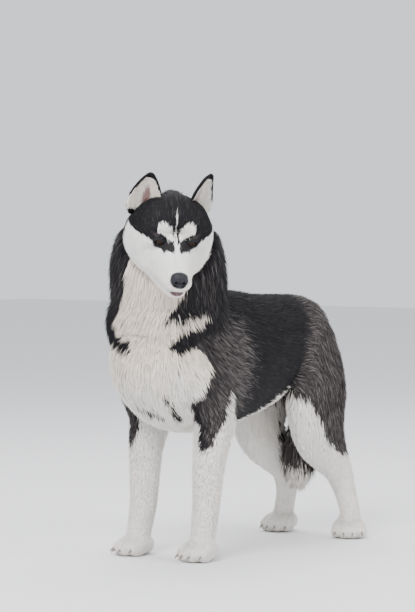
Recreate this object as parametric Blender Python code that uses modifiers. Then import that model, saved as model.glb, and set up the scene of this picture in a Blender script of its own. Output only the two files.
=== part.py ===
"""A standing Siberian husky, life size, with its head turned to its left.

Metres, +Z up. The dog faces -Y and its left side is +X. The middle of its bounding box
stands over the origin, and its paws stand on z = 0. The skin of the coat is the outer
surface of every solid, and the long hair of ruff, chest, breeches and tail is in locks.
"""
import bmesh
import bpy
import numpy as np
from mathutils import Matrix, Vector
from mathutils.bvhtree import BVHTree

GAP = 0.0003          # clearance that neighbouring nodes keep
SHARP_ANGLE = 38.0    # degrees between faces above which an edge is shaded sharp

# Driving sizes
WITHERS = 0.573       # height of the coat over the shoulders
CHEST_FLOOR = 0.262   # height of the coat under the chest
CHEST_HALF = 0.120    # half width of the rib cage with its coat
EYE_HALF = 0.0315     # eye centres left and right of the face's midline
EYE_RADIUS = 0.0115
HEAD_AT = Vector((0.1364, -0.1729, 0.667))   # point midway between the eyes
HEAD_TURN = 50.5      # degrees to the dog's left of straight ahead
HEAD_PITCH = 26.0     # degrees that the muzzle points down
HEAD_ROLL = 3.0       # degrees that the head leans to the dog's left
MID_CHEST = 0.415     # height of the widest part of the rib cage

# Rings of the torso: y, height of the middle, half width, reach up, reach down
TORSO = (
    (-0.154, MID_CHEST, 0.018, 0.016, 0.018),
    (-0.143, MID_CHEST, 0.052, 0.048, 0.054),
    (-0.118, MID_CHEST, 0.088, 0.085, 0.092),
    (-0.070, MID_CHEST, 0.112, 0.130, 0.132),
    (0.000, MID_CHEST, CHEST_HALF, WITHERS - MID_CHEST, MID_CHEST - CHEST_FLOOR),
    (0.080, MID_CHEST, 0.122, 0.155, 0.152),
    (0.160, 0.418, 0.120, 0.146, 0.144),
    (0.240, 0.425, 0.113, 0.134, 0.131),
    (0.320, 0.444, 0.100, 0.110, 0.112),
    (0.385, 0.455, 0.093, 0.096, 0.101),
    (0.428, 0.450, 0.080, 0.092, 0.098),
    (0.458, 0.445, 0.060, 0.078, 0.084),
    (0.480, 0.440, 0.036, 0.052, 0.058),
    (0.492, 0.440, 0.014, 0.020, 0.024),
)
# Rings of a limb, the neck or the tail: centre x, y, z, half width, reach front, reach back
NECK = (
    (0.000, 0.030, 0.405, 0.108, 0.120, 0.120),
    (-0.002, -0.015, 0.495, 0.122, 0.118, 0.122),
    (0.016, -0.052, 0.565, 0.130, 0.107, 0.113),
    (0.042, -0.082, 0.625, 0.127, 0.095, 0.101),
    (0.064, -0.100, 0.670, 0.112, 0.083, 0.089),
    (0.077, -0.110, 0.703, 0.085, 0.060, 0.066),
    (0.084, -0.116, 0.724, 0.046, 0.032, 0.036),
)
FORELEG = (
    (0.066, -0.050, 0.450, 0.046, 0.055, 0.060),
    (0.080, -0.030, 0.395, 0.048, 0.060, 0.066),
    (0.084, 0.004, 0.340, 0.047, 0.055, 0.058),
    (0.082, 0.020, 0.290, 0.044, 0.045, 0.049),
    (0.080, 0.012, 0.240, 0.040, 0.039, 0.041),
    (0.078, 0.004, 0.185, 0.035, 0.035, 0.036),
    (0.077, 0.000, 0.120, 0.031, 0.032, 0.031),
    (0.078, -0.008, 0.075, 0.028, 0.030, 0.029),
    (0.079, -0.018, 0.035, 0.026, 0.028, 0.026),
)
HIND_LEG = (
    (0.048, 0.392, 0.480, 0.046, 0.075, 0.066),
    (0.062, 0.384, 0.420, 0.051, 0.090, 0.088),
    (0.074, 0.380, 0.350, 0.052, 0.090, 0.100),
    (0.080, 0.374, 0.290, 0.047, 0.078, 0.096),
    (0.077, 0.394, 0.236, 0.042, 0.068, 0.084),
    (0.074, 0.438, 0.190, 0.034, 0.050, 0.056),
    (0.077, 0.472, 0.150, 0.029, 0.038, 0.036),
    (0.084, 0.487, 0.100, 0.024, 0.027, 0.028),
    (0.093, 0.491, 0.060, 0.023, 0.025, 0.026),
    (0.096, 0.487, 0.030, 0.023, 0.025, 0.025),
)
TAIL = (
    (0.000, 0.458, 0.500, 0.020, 0.022, 0.022),
    (0.000, 0.482, 0.466, 0.031, 0.030, 0.030),
    (0.000, 0.499, 0.415, 0.040, 0.037, 0.039),
    (0.000, 0.498, 0.350, 0.048, 0.043, 0.045),
    (-0.001, 0.474, 0.285, 0.052, 0.046, 0.046),
    (-0.002, 0.444, 0.225, 0.049, 0.044, 0.044),
    (-0.003, 0.428, 0.165, 0.040, 0.036, 0.038),
    (-0.003, 0.430, 0.120, 0.024, 0.022, 0.024),
    (-0.002, 0.437, 0.088, 0.006, 0.006, 0.006),
)
# How the right legs depart from the left ones: shift of x and y at the paw
RIGHT_SHIFT = {"fore": (-0.009, -0.012), "hind": (0.003, -0.002)}
RIGHT_KNEE = -0.024   # how much further forward the right hind knee stands
# How far each paw is turned to the dog's left, in degrees
PAW_TURN = {("fore", "left"): 0.0, ("fore", "right"): -12.0, ("hind", "left"): 32.0, ("hind", "right"): 8.0}
# Rings of the head in its own frame, eyes at 0: forward y, top z, floor z, half width
SKULL = (
    (0.018, -0.006, -0.060, 0.0290),
    (0.004, 0.010, -0.078, 0.0510),
    (-0.012, 0.028, -0.090, 0.0670),
    (-0.032, 0.049, -0.094, 0.0800),
    (-0.055, 0.071, -0.093, 0.0895),
    (-0.080, 0.088, -0.087, 0.0935),
    (-0.104, 0.091, -0.072, 0.0860),
    (-0.126, 0.073, -0.045, 0.0640),
    (-0.140, 0.042, -0.015, 0.0300),
)
MUZZLE = (
    (0.0935, -0.041, -0.060, 0.0120),
    (0.088, -0.031, -0.069, 0.0205),
    (0.076, -0.0225, -0.0745, 0.0275),
    (0.058, -0.0165, -0.0765, 0.0320),
    (0.040, -0.011, -0.0785, 0.0365),
    (0.022, -0.003, -0.0805, 0.0430),
    (0.004, 0.008, -0.082, 0.0490),
    (-0.020, 0.016, -0.083, 0.0540),
)
JAW = (
    (0.081, -0.066, -0.079, 0.0100),
    (0.075, -0.062, -0.0870, 0.0180),
    (0.060, -0.060, -0.0930, 0.0225),
    (0.038, -0.060, -0.0965, 0.0270),
    (0.012, -0.060, -0.0985, 0.0340),
    (-0.015, -0.055, -0.0980, 0.0440),
    (-0.045, -0.050, -0.0960, 0.0520),
)
WIDEST = -0.26        # height of a head ring's widest level, as a share of its half height
EYE_SET = -0.0002     # eye centres behind the plane of the lids
EYE_TURN = 14.0       # degrees that each eye looks outwards
EYE_SLANT = 12.0      # degrees that the outer corner stands higher
LID_RADIUS = 0.0138   # the lids are a ball around the eye
LID_OPENING = (0.0106, 0.0062, 0.0050)   # half width, reach up, reach down
NOSE_AT = Vector((0.0, 0.0890, -0.0425))
MOUTH_HEIGHT = -0.0665   # of the mouth line under the nose
MOUTH_DROOP = 0.22       # how steeply the upper lips hang down to the sides
MOUTH_CORNER = 0.020     # distance of the corners of the mouth in front of the eyes
MOUTH_GAP = 0.0012
LIP_RADIUS = 0.0017
# Each ear: base, tip, and the direction its cup opens to
EARS = {
    "right": ((0.0600, -0.066, 0.044), (0.0540, -0.062, 0.1225), (0.30, 0.95, 0.05), 0.086),
    "left": ((-0.0560, -0.066, 0.044), (-0.0680, -0.061, 0.127), (-0.60, 0.80, 0.05), 0.083),
}
EAR_WALL = 0.0042
EAR_CUP = 0.019       # how deep the ear is cupped at its base
# Rings of one toe in the paw's frame, toes towards -y: y, z, half width, reach up, reach down
TOE = (
    (0.012, 0.022, 0.0095, 0.010, 0.014),
    (-0.006, 0.027, 0.0112, 0.012, 0.019),
    (-0.022, 0.026, 0.0118, 0.0135, 0.022),
    (-0.035, 0.020, 0.0120, 0.0140, 0.022),
    (-0.046, 0.0145, 0.0110, 0.0125, 0.0175),
    (-0.053, 0.011, 0.0065, 0.008, 0.0100),
)
# Each toe: offset to the side, offset backward, turn outwards in degrees
TOES = ((-0.0220, 0.012, -9.0), (-0.0080, 0.000, -2.0), (0.0080, 0.000, 2.0), (0.0220, 0.012, 9.0))
CLAW = (
    (-0.045, 0.0155, 0.0024, 0.0030, 0.0030),
    (-0.053, 0.0142, 0.0022, 0.0028, 0.0028),
    (-0.059, 0.0112, 0.0016, 0.0020, 0.0020),
    (-0.063, 0.0070, 0.0006, 0.0007, 0.0007),
)
WITHERS_Y = -0.020     # behind this the ruff's locks start higher, so that the back stays smooth
NECK_CUT = (Vector((0.004, -0.030, 0.505)), Vector((0.10, -0.45, 0.85)))   # point, direction
PAW_TOP = 0.050       # height of the cut between leg and paw
LEG_MARGIN = 0.005    # how far the cutter that parts a leg from the body reaches past the leg

# Long hair in locks: length, width, thickness, and how far the tips stand off the core
RUFF = (0.100, 0.066, 0.013, 0.016)
BIB = (0.066, 0.046, 0.010, 0.010)
BREECHES = (0.072, 0.048, 0.010, 0.015)
BRUSH = (0.120, 0.056, 0.013, 0.017)
CORE_INSET = {"neck": 0.011, "tail": 0.016}   # the core under the locks, below their tips
ROOT_DEPTH = 0.009    # how deep a lock is rooted in its core

COLOURS = {
    "black_coat": (0.030, 0.030, 0.036, 1.0),
    "white_coat": (0.780, 0.760, 0.720, 1.0),
    "grizzled_coat": (0.120, 0.105, 0.100, 1.0),
    "eye": (0.030, 0.020, 0.016, 1.0),
    "nose_leather": (0.060, 0.062, 0.075, 1.0),
    "claw_horn": (0.090, 0.075, 0.065, 1.0),
}
ROUGHNESS = {"eye": 0.05, "nose_leather": 0.42, "claw_horn": 0.35}


def clear_scene():
    """Empty the file of its starting objects."""
    for item in list(bpy.data.objects):
        bpy.data.objects.remove(item, do_unlink=True)


def material(name):
    """One plain finish, made once."""
    found = bpy.data.materials.get(name)
    if found:
        return found
    made = bpy.data.materials.new(name)
    made.use_nodes = True
    shader = made.node_tree.nodes["Principled BSDF"]
    shader.inputs["Base Color"].default_value = COLOURS[name]
    shader.inputs["Roughness"].default_value = ROUGHNESS.get(name, 0.85)
    shader.inputs["Metallic"].default_value = 0.0
    made.diffuse_color = COLOURS[name]
    return made


def spline(rows, count):
    """Catmull-Rom curves through the rows of numbers, read at count even places."""
    rows = np.array(rows, float)
    knots = np.vstack([2 * rows[0] - rows[1], rows, 2 * rows[-1] - rows[-2]])
    place = np.linspace(0, len(rows) - 1, count)
    start = np.minimum(place.astype(int), len(rows) - 2)
    u = (place - start)[:, None]
    a, b, c, d = (knots[start + k] for k in range(4))
    return 0.5 * (2 * b + (c - a) * u + (2 * a - 5 * b + 4 * c - d) * u**2 + (3 * b - a - 3 * c + d) * u**3)


def unit(vectors):
    """Vectors of length one."""
    return vectors / np.linalg.norm(vectors, axis=-1, keepdims=True)


def ring_grid(rows, front, count, sides, extra=0.0, square=2.0):
    """Oval rings along a curved middle line, as an array of count by sides points.

    A row is centre x, y, z, half width, reach to the front and reach to the back. front is
    one direction, or a start and an end direction for a limb that twists. square is the
    power of the oval: 2 is an ellipse, and more is boxier.
    """
    track = spline(rows, count)
    middle = track[:, :3]
    along = unit(np.gradient(middle, axis=0))
    front = np.array(front, float).reshape(-1, 3)
    blend = np.linspace(0, 1, count)[:, None]
    facing = unit(front[0] * (1 - blend) + front[-1] * blend)
    side = unit(np.cross(facing, along))
    depth = unit(np.cross(along, side))
    depth *= np.sign((depth * facing).sum(1, keepdims=True))
    angle = np.linspace(0, 2 * np.pi, sides, endpoint=False)
    wide, high = (np.sign(f) * np.abs(f)**(2 / square) for f in (np.cos(angle), np.sin(angle)))
    across = wide[None, :, None] * (track[:, 3, None, None] + extra)
    reach = np.where(high > 0, track[:, 4, None], track[:, 5, None]) + extra
    deep = (high * reach)[:, :, None]
    return middle[:, None] + across * side[:, None] + deep * depth[:, None]


def closed_mesh(name, grid, matrix=None):
    """A closed mesh of triangles over a grid of rings, both ends capped, with its faces pointing out."""
    count, sides = grid.shape[:2]
    work = bmesh.new()
    points = [work.verts.new(p) for p in grid.reshape(-1, 3)]
    for i in range(count - 1):
        for j in range(sides):
            k = (j + 1) % sides
            corners = (i * sides + j, i * sides + k, (i + 1) * sides + k, (i + 1) * sides + j)
            work.faces.new([points[c] for c in corners])
    work.faces.new(points[:sides])
    work.faces.new(points[-sides:])
    bmesh.ops.recalc_face_normals(work, faces=work.faces)
    bmesh.ops.triangulate(work, faces=work.faces)
    if matrix is not None:
        work.transform(matrix)
    mesh = bpy.data.meshes.new(name)
    work.to_mesh(mesh)
    work.free()
    return mesh


def collection(name):
    """A collection of the scene, made once."""
    found = bpy.data.collections.get(name)
    if not found:
        found = bpy.data.collections.new(name)
        bpy.context.scene.collection.children.link(found)
    return found


def new_object(name, mesh, finish=None):
    """An object for a mesh, with its finish, among the cutters until the model is gathered."""
    made = bpy.data.objects.new(name, mesh)
    collection("cutters").objects.link(made)
    if finish:
        mesh.materials.clear()
        mesh.materials.append(material(finish))
    return made


def paint(item, finish):
    """Give a finished solid its one finish."""
    item.data.materials.clear()
    item.data.materials.append(material(finish))
    for face in item.data.polygons:
        face.material_index = 0


def drop(*objects):
    """Remove helpers that have done their work."""
    for item in objects:
        bpy.data.objects.remove(item, do_unlink=True)


def settle(item):
    """Write an object's modifiers into its mesh."""
    graph = bpy.context.evaluated_depsgraph_get()
    mesh = bpy.data.meshes.new_from_object(item.evaluated_get(graph))
    item.modifiers.clear()
    item.data = mesh
    return item


def fused(name, meshes, voxel, smoothing, faces):
    """The closed meshes melted into one skin of about that many triangles."""
    work = bmesh.new()
    for mesh in meshes:
        work.from_mesh(mesh)
    joined = bpy.data.meshes.new(name)
    work.to_mesh(joined)
    work.free()
    item = new_object(name, joined)
    melt = item.modifiers.new("melt", "REMESH")
    melt.mode = "VOXEL"
    melt.voxel_size = voxel
    soften = item.modifiers.new("soften", "SMOOTH")
    soften.factor = 0.5
    soften.iterations = smoothing
    settle(item)
    thin = item.modifiers.new("thin", "DECIMATE")
    thin.ratio = min(1.0, faces / (2.0 * len(item.data.polygons)))
    thin.use_collapse_triangulate = True
    settle(item)
    return item


def combine(item, other, how, solver="EXACT"):
    """Cut item by other, keep what both share, or join the two, as how says."""
    step = item.modifiers.new(how.lower(), "BOOLEAN")
    step.operation = how
    step.solver = solver
    step.object = other
    settle(item)
    return item


def copy_of(item, name):
    """A separate object with its own mesh."""
    return new_object(name, item.data.copy())


def grown(item, name, by):
    """A copy whose surface is moved outwards."""
    made = copy_of(item, name)
    made.modifiers.new("split", "TRIANGULATE")
    swell = made.modifiers.new("swell", "DISPLACE")
    swell.strength = by
    swell.mid_level = 0.0
    return settle(made)


def largest_body(item):
    """Keep only the closed surface that spans the most, walking from face to face over edges."""
    work = bmesh.new()
    work.from_mesh(item.data)
    left, bodies = set(work.faces), []
    while left:
        body, front = set(), [left.pop()]
        while front:
            face = front.pop()
            body.add(face)
            near = {other for edge in face.edges for other in edge.link_faces} & left
            left -= near
            front += near
        bodies.append(body)
    keep = max(bodies, key=spread)
    bmesh.ops.delete(work, geom=[face for face in work.faces if face not in keep], context="FACES")
    work.to_mesh(item.data)
    work.free()
    return item


def spread(body):
    """The volume of the box around some faces."""
    points = np.array([face.calc_center_median() for face in body])
    return float(np.prod(np.ptp(points, axis=0)))


def sliced(item, point, normal):
    """Keep the side of a plane that its normal points to, and close the cut flat."""
    work = bmesh.new()
    work.from_mesh(item.data)
    bmesh.ops.bisect_plane(
        work, geom=work.verts[:] + work.edges[:] + work.faces[:],
        plane_co=point, plane_no=normal, clear_inner=True,
    )
    rim = [edge for edge in work.edges if edge.is_boundary]
    bmesh.ops.holes_fill(work, edges=rim)
    bmesh.ops.recalc_face_normals(work, faces=work.faces)
    work.to_mesh(item.data)
    work.free()
    return item


def split(item, name, point, normal):
    """Cut an object in two with a thin gap: item keeps the side behind the plane, name the front."""
    point, normal = Vector(point), Vector(normal).normalized()
    front = copy_of(item, name)
    sliced(front, point + normal * GAP / 2, normal)
    sliced(item, point - normal * GAP / 2, -normal)
    return item, front


def head_matrix():
    """From the head's frame, +y forward and eyes at 0, to the model."""
    turn = Matrix.Rotation(np.radians(HEAD_TURN + 180.0), 4, "Z")
    pitch = Matrix.Rotation(np.radians(-HEAD_PITCH), 4, "X")
    roll = Matrix.Rotation(np.radians(-HEAD_ROLL), 4, "Y")
    return Matrix.Translation(HEAD_AT) @ turn @ pitch @ roll


def leg_rows(kind, side):
    """The rings of one leg: the left one's, or their mirror image with its paw set apart."""
    rows = np.array(FORELEG if kind == "fore" else HIND_LEG, float)
    if side == "right":
        rows[:, 0] *= -1
        share = np.clip((rows[0, 2] - rows[:, 2]) / (rows[0, 2] - 0.24), 0, 1)
        rows[:, :2] += share[:, None] * np.array(RIGHT_SHIFT[kind])
        if kind == "hind":
            rows[:, 1] += RIGHT_KNEE * np.exp(-((rows[:, 2] - 0.215) / 0.042)**2)
    return rows


def leg_grid(kind, side, extra=0.0, count=22, sides=20):
    """The skin of one leg from the body to the ground."""
    return ring_grid(leg_rows(kind, side), (0, -1, 0), count, sides, extra)


def torso_grid():
    """The skin of the trunk, from the fore chest to the rump."""
    rows = [(0.0, y, z, half, up, down) for y, z, half, up, down in TORSO]
    return ring_grid(rows, (0, 0, 1), 40, 36)


def neck_grid(count=20, sides=32):
    """The core of the neck, which turns with the head."""
    ahead = head_matrix().to_3x3() @ Vector((0, 1, 0))
    return ring_grid(NECK, ((0, -1, 0), tuple(ahead)), count, sides, -CORE_INSET["neck"])


def tail_grid(count=12, sides=10):
    """The core of the hanging tail."""
    rows = np.array(TAIL)
    rows[:, 3:] = np.maximum(rows[:, 3:] - CORE_INSET["tail"], 0.35 * rows[:, 3:])
    return ring_grid(rows, (0, -1, 0), count, sides)


def blob(at, size, turn=(0.0, 0.0, 0.0), detail=16):
    """A closed egg: a sphere stretched to half sizes, turned in degrees and moved."""
    spun = Matrix.Identity(4)
    for degrees, axis in zip(turn, "XYZ"):
        spun = Matrix.Rotation(np.radians(degrees), 4, axis) @ spun
    work = bmesh.new()
    bmesh.ops.create_uvsphere(work, u_segments=detail, v_segments=detail // 2, radius=1.0)
    work.transform(Matrix.Translation(at) @ spun @ Matrix.Diagonal((*size, 1.0)))
    mesh = bpy.data.meshes.new("blob")
    work.to_mesh(mesh)
    work.free()
    return mesh


def face_loft(name, table, square):
    """A closed loft through rings given as y, top, floor and half width."""
    rows = []
    for y, top, floor, half in table:
        level = (top + floor) / 2 + WIDEST * (top - floor) / 2
        rows.append((0.0, y, level, half, top - level, level - floor))
    return closed_mesh(name, ring_grid(rows, (0, 0, 1), 36, 32, square=square))


def head_skin():
    """Skull, muzzle, jaw, brows and lids, to be melted together in the head's frame."""
    meshes = [
        face_loft("skull", SKULL, 2.4),
        face_loft("muzzle", MUZZLE, 2.3),
        face_loft("jaw", JAW, 2.0),
        blob((0, -0.002, 0.004), (0.020, 0.026, 0.014), (-38, 0, 0)),
    ]
    for side in (-1, 1):
        meshes += [
            blob((side * 0.025, -0.013, 0.014), (0.019, 0.017, 0.012), (0, side * 18, 0)),
            blob((side * 0.0130, 0.072, -0.055), (0.0165, 0.020, 0.016)),
            blob((side * (EYE_HALF + 0.004), EYE_SET - 0.007, -0.002), (LID_RADIUS + 0.006,) * 3),
        ]
    return meshes


def eye_matrix(side):
    """From an eye's frame, +y out of the eye, to the head's frame; side is 1 for the right."""
    turn = Matrix.Rotation(np.radians(-side * EYE_TURN), 4, "Z")
    slant = Matrix.Rotation(np.radians(-side * EYE_SLANT), 4, "Y")
    return Matrix.Translation((side * EYE_HALF, EYE_SET, 0)) @ turn @ slant


def ball(name, radius, segments, rings):
    """A closed ball with its poles at front and back."""
    work = bmesh.new()
    bmesh.ops.create_uvsphere(work, u_segments=segments, v_segments=rings, radius=radius)
    work.transform(Matrix.Rotation(np.radians(90), 4, "X"))
    mesh = bpy.data.meshes.new(name)
    work.to_mesh(mesh)
    work.free()
    return mesh


def lid_opening():
    """A bar with the almond outline of the open lids, from inside the eye to the front."""
    half, up, down = LID_OPENING
    angle = np.linspace(0, 2 * np.pi, 18, endpoint=False)
    x = half * np.cos(angle)
    z = np.sin(angle) * np.where(np.sin(angle) > 0, up, down) * (1 - 0.28 * np.cos(angle)**2)
    rings = [np.stack([x, np.full_like(x, y), z], 1) for y in (0.004, 0.030)]
    return closed_mesh("opening", np.array(rings))


def mouth_height(x):
    """The height of the mouth line at a distance from the middle: the upper lips hang down."""
    return MOUTH_HEIGHT - MOUTH_DROOP * abs(x)


def mouth_slit():
    """A thin bent slab that parts the lips from the front back to the corners of the mouth."""
    half = MOUTH_GAP / 2
    rings = []
    for y in (MOUTH_CORNER, 0.120):
        floor = [(x, y, mouth_height(x) - half) for x in (-0.06, 0.0, 0.06)]
        roof = [(x, y, mouth_height(x) + half) for x in (0.06, 0.0, -0.06)]
        rings.append(floor + roof)
    return closed_mesh("slit", np.array(rings))


def lip(skin, offset):
    """A rolled lip around the muzzle, that far above the mouth line."""
    tree = BVHTree.FromObject(skin, bpy.context.evaluated_depsgraph_get())
    path = []
    for angle in np.radians(np.linspace(-118, 118, 19)):
        way = Vector((np.sin(angle), np.cos(angle), 0))
        across = 0.02 * abs(way.x)
        for _ in range(3):
            start = Vector((0, 0.042, mouth_height(across) + offset)) + way * 0.2
            hit = tree.ray_cast(start, -way)[0]
            across = hit.x
        path.append(tuple(hit - way * 0.0009))
    rows = [(*p, LIP_RADIUS, LIP_RADIUS, LIP_RADIUS) for p in path]
    return closed_mesh("lip", ring_grid(rows, (0, 0, 1), 19, 6))


def build_nose():
    """The nose leather with its two nostrils, in the head's frame."""
    meshes = [
        blob(NOSE_AT + Vector((0, -0.004, 0.005)), (0.0175, 0.0135, 0.0105)),
        blob(NOSE_AT + Vector((0, -0.002, -0.009)), (0.0080, 0.0100, 0.0085)),
    ]
    for side in (-1, 1):
        meshes.append(blob(NOSE_AT + Vector((side * 0.0095, -0.003, -0.001)), (0.0090, 0.0120, 0.0098)))
    nose = fused("nose", meshes, 0.0014, 4, 230)
    for side in (-1, 1):
        for at, size in (((0.0078, 0.0085, -0.0015), (0.0034, 0.0060, 0.0038)),
                         ((0.0120, 0.0060, -0.0040), (0.0036, 0.0050, 0.0016))):
            spot = NOSE_AT + Vector((side * at[0], at[1], at[2]))
            hole = new_object("hole", blob(spot, size, (0, side * 25, 0), 8))
            combine(nose, hole, "DIFFERENCE")
            drop(hole)
    return nose


def ear_grid(base, tip, opening, width):
    """A cupped ear: a rounded triangle whose sections are crescents of even thickness.

    The half width falls as (1 - t)^0.7 from base to tip and the cup gets shallower with it.
    """
    base, tip = np.array(base), np.array(tip)
    along = unit(tip - base)
    across = unit(np.cross(along, np.array(opening)))
    out = np.cross(across, along)
    rings = []
    for t in np.concatenate([[-0.30, -0.15], np.linspace(0, 0.97, 8)]):
        half = width / 2 * (1 - max(t, 0.0))**0.70 * (1 - 0.14 * (1 - t)**4) + 0.0006
        cup = EAR_CUP * (1 - 0.75 * max(t, 0.0)) * min(1.0, half / 0.012)
        wall = min(EAR_WALL, half * 0.8)
        middle = base + (tip - base) * t - out * 0.004 * np.sin(np.pi * max(t, 0.0))
        back = np.linspace(-1, 1, 9)
        front = np.linspace(0.86, -0.86, 7)
        ring = [middle + across * s * half - out * (cup * (1 - s * s)) for s in back]
        ring += [middle + across * s * half - out * (cup * (1 - s * s) - wall) for s in front]
        rings.append(ring)
    return np.array(rings)


def paw_matrix(kind, side):
    """From a paw's frame, toes towards -y and soles at z 0, to the model."""
    x, y = leg_rows(kind, side)[-1, :2]
    return Matrix.Translation((x, y, 0.0)) @ Matrix.Rotation(np.radians(PAW_TURN[kind, side]), 4, "Z")


def toe_matrix(paw, toe):
    """From a toe's frame to the model."""
    shift, forward, turn = TOES[toe]
    return paw @ Matrix.Translation((shift, forward, 0)) @ Matrix.Rotation(np.radians(turn), 4, "Z")


def toe_rows(rows):
    """A toe's rings as centre, half width and reach up and down."""
    return [(0.0, y, z, half, up, down) for y, z, half, up, down in rows]


def build_paw(kind, side):
    """One paw: four toes and the heel melted together, cut flat at the sole and at the wrist."""
    paw = paw_matrix(kind, side)
    meshes = [closed_mesh("shin", leg_grid(kind, side)[12:])]
    for toe in range(len(TOES)):
        grid = ring_grid(toe_rows(TOE), (0, 0, 1), 12, 14)
        meshes.append(closed_mesh("toe", grid, toe_matrix(paw, toe)))
    heel = blob((0, 0.006, 0.018), (0.026, 0.030, 0.022))
    heel.transform(paw)
    meshes.append(heel)
    name = f"{kind}paw_{side}"
    item = fused(name, meshes, 0.0026, 3, 320)
    sliced(item, Vector((0, 0, 0)), Vector((0, 0, 1)))
    sliced(item, Vector((0, 0, PAW_TOP - GAP / 2)), Vector((0, 0, -1)))
    largest_body(item)
    for toe in range(len(TOES)):
        matrix = toe_matrix(paw, toe)
        claw_rows = toe_rows(CLAW)
        bed, horn = (ring_grid(claw_rows, (0, 0, 1), 4, 6, extra) for extra in (GAP, 0.0))
        socket = new_object("socket", closed_mesh("socket", bed, matrix))
        new_object(f"claw_{kind}_{side}_{toe + 1}", closed_mesh("claw", horn, matrix), "claw_horn")
        combine(item, socket, "DIFFERENCE")
        drop(socket)
    largest_body(item)
    paint(item, "white_coat")
    return item


def leg_cutters(kind, side):
    """The block that keeps a leg out of the melted skin, and the wider one that clears it."""
    inner = new_object("inner", closed_mesh("inner", leg_grid(kind, side, LEG_MARGIN, 12, 14)))
    return inner, grown(inner, "outer", 1.5 * GAP)


def build_trunk():
    """Trunk, neck and legs melted into one skin, then parted into their nodes."""
    meshes = [closed_mesh("trunk", torso_grid()), closed_mesh("neck", neck_grid())]
    legs = [(kind, side) for kind in ("fore", "hind") for side in ("left", "right")]
    meshes += [closed_mesh("leg", leg_grid(*leg)) for leg in legs]
    whole = fused("torso", meshes, 0.0065, 13, 1700)
    sliced(whole, Vector((0, 0, PAW_TOP + GAP / 2)), Vector((0, 0, 1)))
    skin = surface(whole)
    nodes = {}
    for kind, side in legs:
        name = f"{kind}leg_{side}"
        limb = copy_of(whole, name)
        inner, outer = leg_cutters(kind, side)
        combine(limb, inner, "INTERSECT")
        combine(whole, outer, "DIFFERENCE")
        drop(inner, outer)
        nodes[name] = largest_body(limb)
    largest_body(whole)
    whole, neck = split(whole, "neck", *NECK_CUT)
    nodes.update(torso=largest_body(whole), neck=largest_body(neck))
    return nodes, skin


def build_head():
    """The head with its lids, lips and mouth, and the nose, eyes and ears that it carries."""
    head = fused("head", head_skin(), 0.0030, 13, 1000)
    for side in (-1, 1):
        lids = new_object("lids", ball("lids", LID_RADIUS, 12, 8))
        lids.data.transform(eye_matrix(side))
        combine(head, lids, "UNION")
        drop(lids)
    for offset in (LIP_RADIUS + MOUTH_GAP / 2, -LIP_RADIUS - MOUTH_GAP / 2):
        rolled = new_object("rolled", lip(head, offset))
        combine(head, rolled, "UNION")
        drop(rolled)
    slit = new_object("slit", mouth_slit())
    combine(head, slit, "DIFFERENCE")
    drop(slit)
    nose = build_nose()
    bed = grown(nose, "bed", GAP)
    combine(head, bed, "DIFFERENCE")
    drop(bed)
    parts = [nose]
    for side, name in ((1, "right"), (-1, "left")):
        eye = new_object(f"eye_{name}", ball("eye", EYE_RADIUS, 14, 8), "eye")
        socket = new_object("socket", ball("socket", EYE_RADIUS + GAP, 14, 8))
        opening = new_object("opening", lid_opening())
        for item in (eye, socket, opening):
            item.data.transform(eye_matrix(side))
        combine(head, socket, "DIFFERENCE")
        combine(head, opening, "DIFFERENCE")
        drop(socket, opening)
        parts.append(eye)
    largest_body(head)
    around = grown(head, "around", GAP)
    for name, shape in EARS.items():
        ear = new_object(f"ear_{name}", closed_mesh("ear", ear_grid(*shape)))
        combine(ear, around, "DIFFERENCE")
        largest_body(ear)
        paint(ear, "black_coat")
        parts.append(ear)
    drop(around)
    paint(head, "black_coat")
    paint(nose, "nose_leather")
    for item in (head, *parts):
        item.data.transform(head_matrix())
    return head


def coarse(item, share, by):
    """A copy with fewer triangles, grown enough to hold the original."""
    made = copy_of(item, "coarse")
    thin = made.modifiers.new("thin", "DECIMATE")
    thin.ratio = share
    settle(made)
    around = grown(made, "around", by)
    drop(made)
    return around


def clear_of(item, others):
    """Cut an object back so that it keeps the gap to others, as one closed body.

    MANIFOLD makes these cuts, as EXACT leaves openings where many locks cross.
    """
    for other in others:
        rough = other.name == "head"
        around = coarse(other, 0.22, 0.0025) if rough else grown(other, "around", 2.5 * GAP)
        combine(item, around, "DIFFERENCE", "MANIFOLD")
        drop(around)
    return largest_body(item)


def tangent(way, normal):
    """The part of a direction that lies in the surface."""
    flat = way - normal * way.dot(normal)
    return flat.normalized() if flat.length > 1e-6 else normal.orthogonal().normalized()


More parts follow.
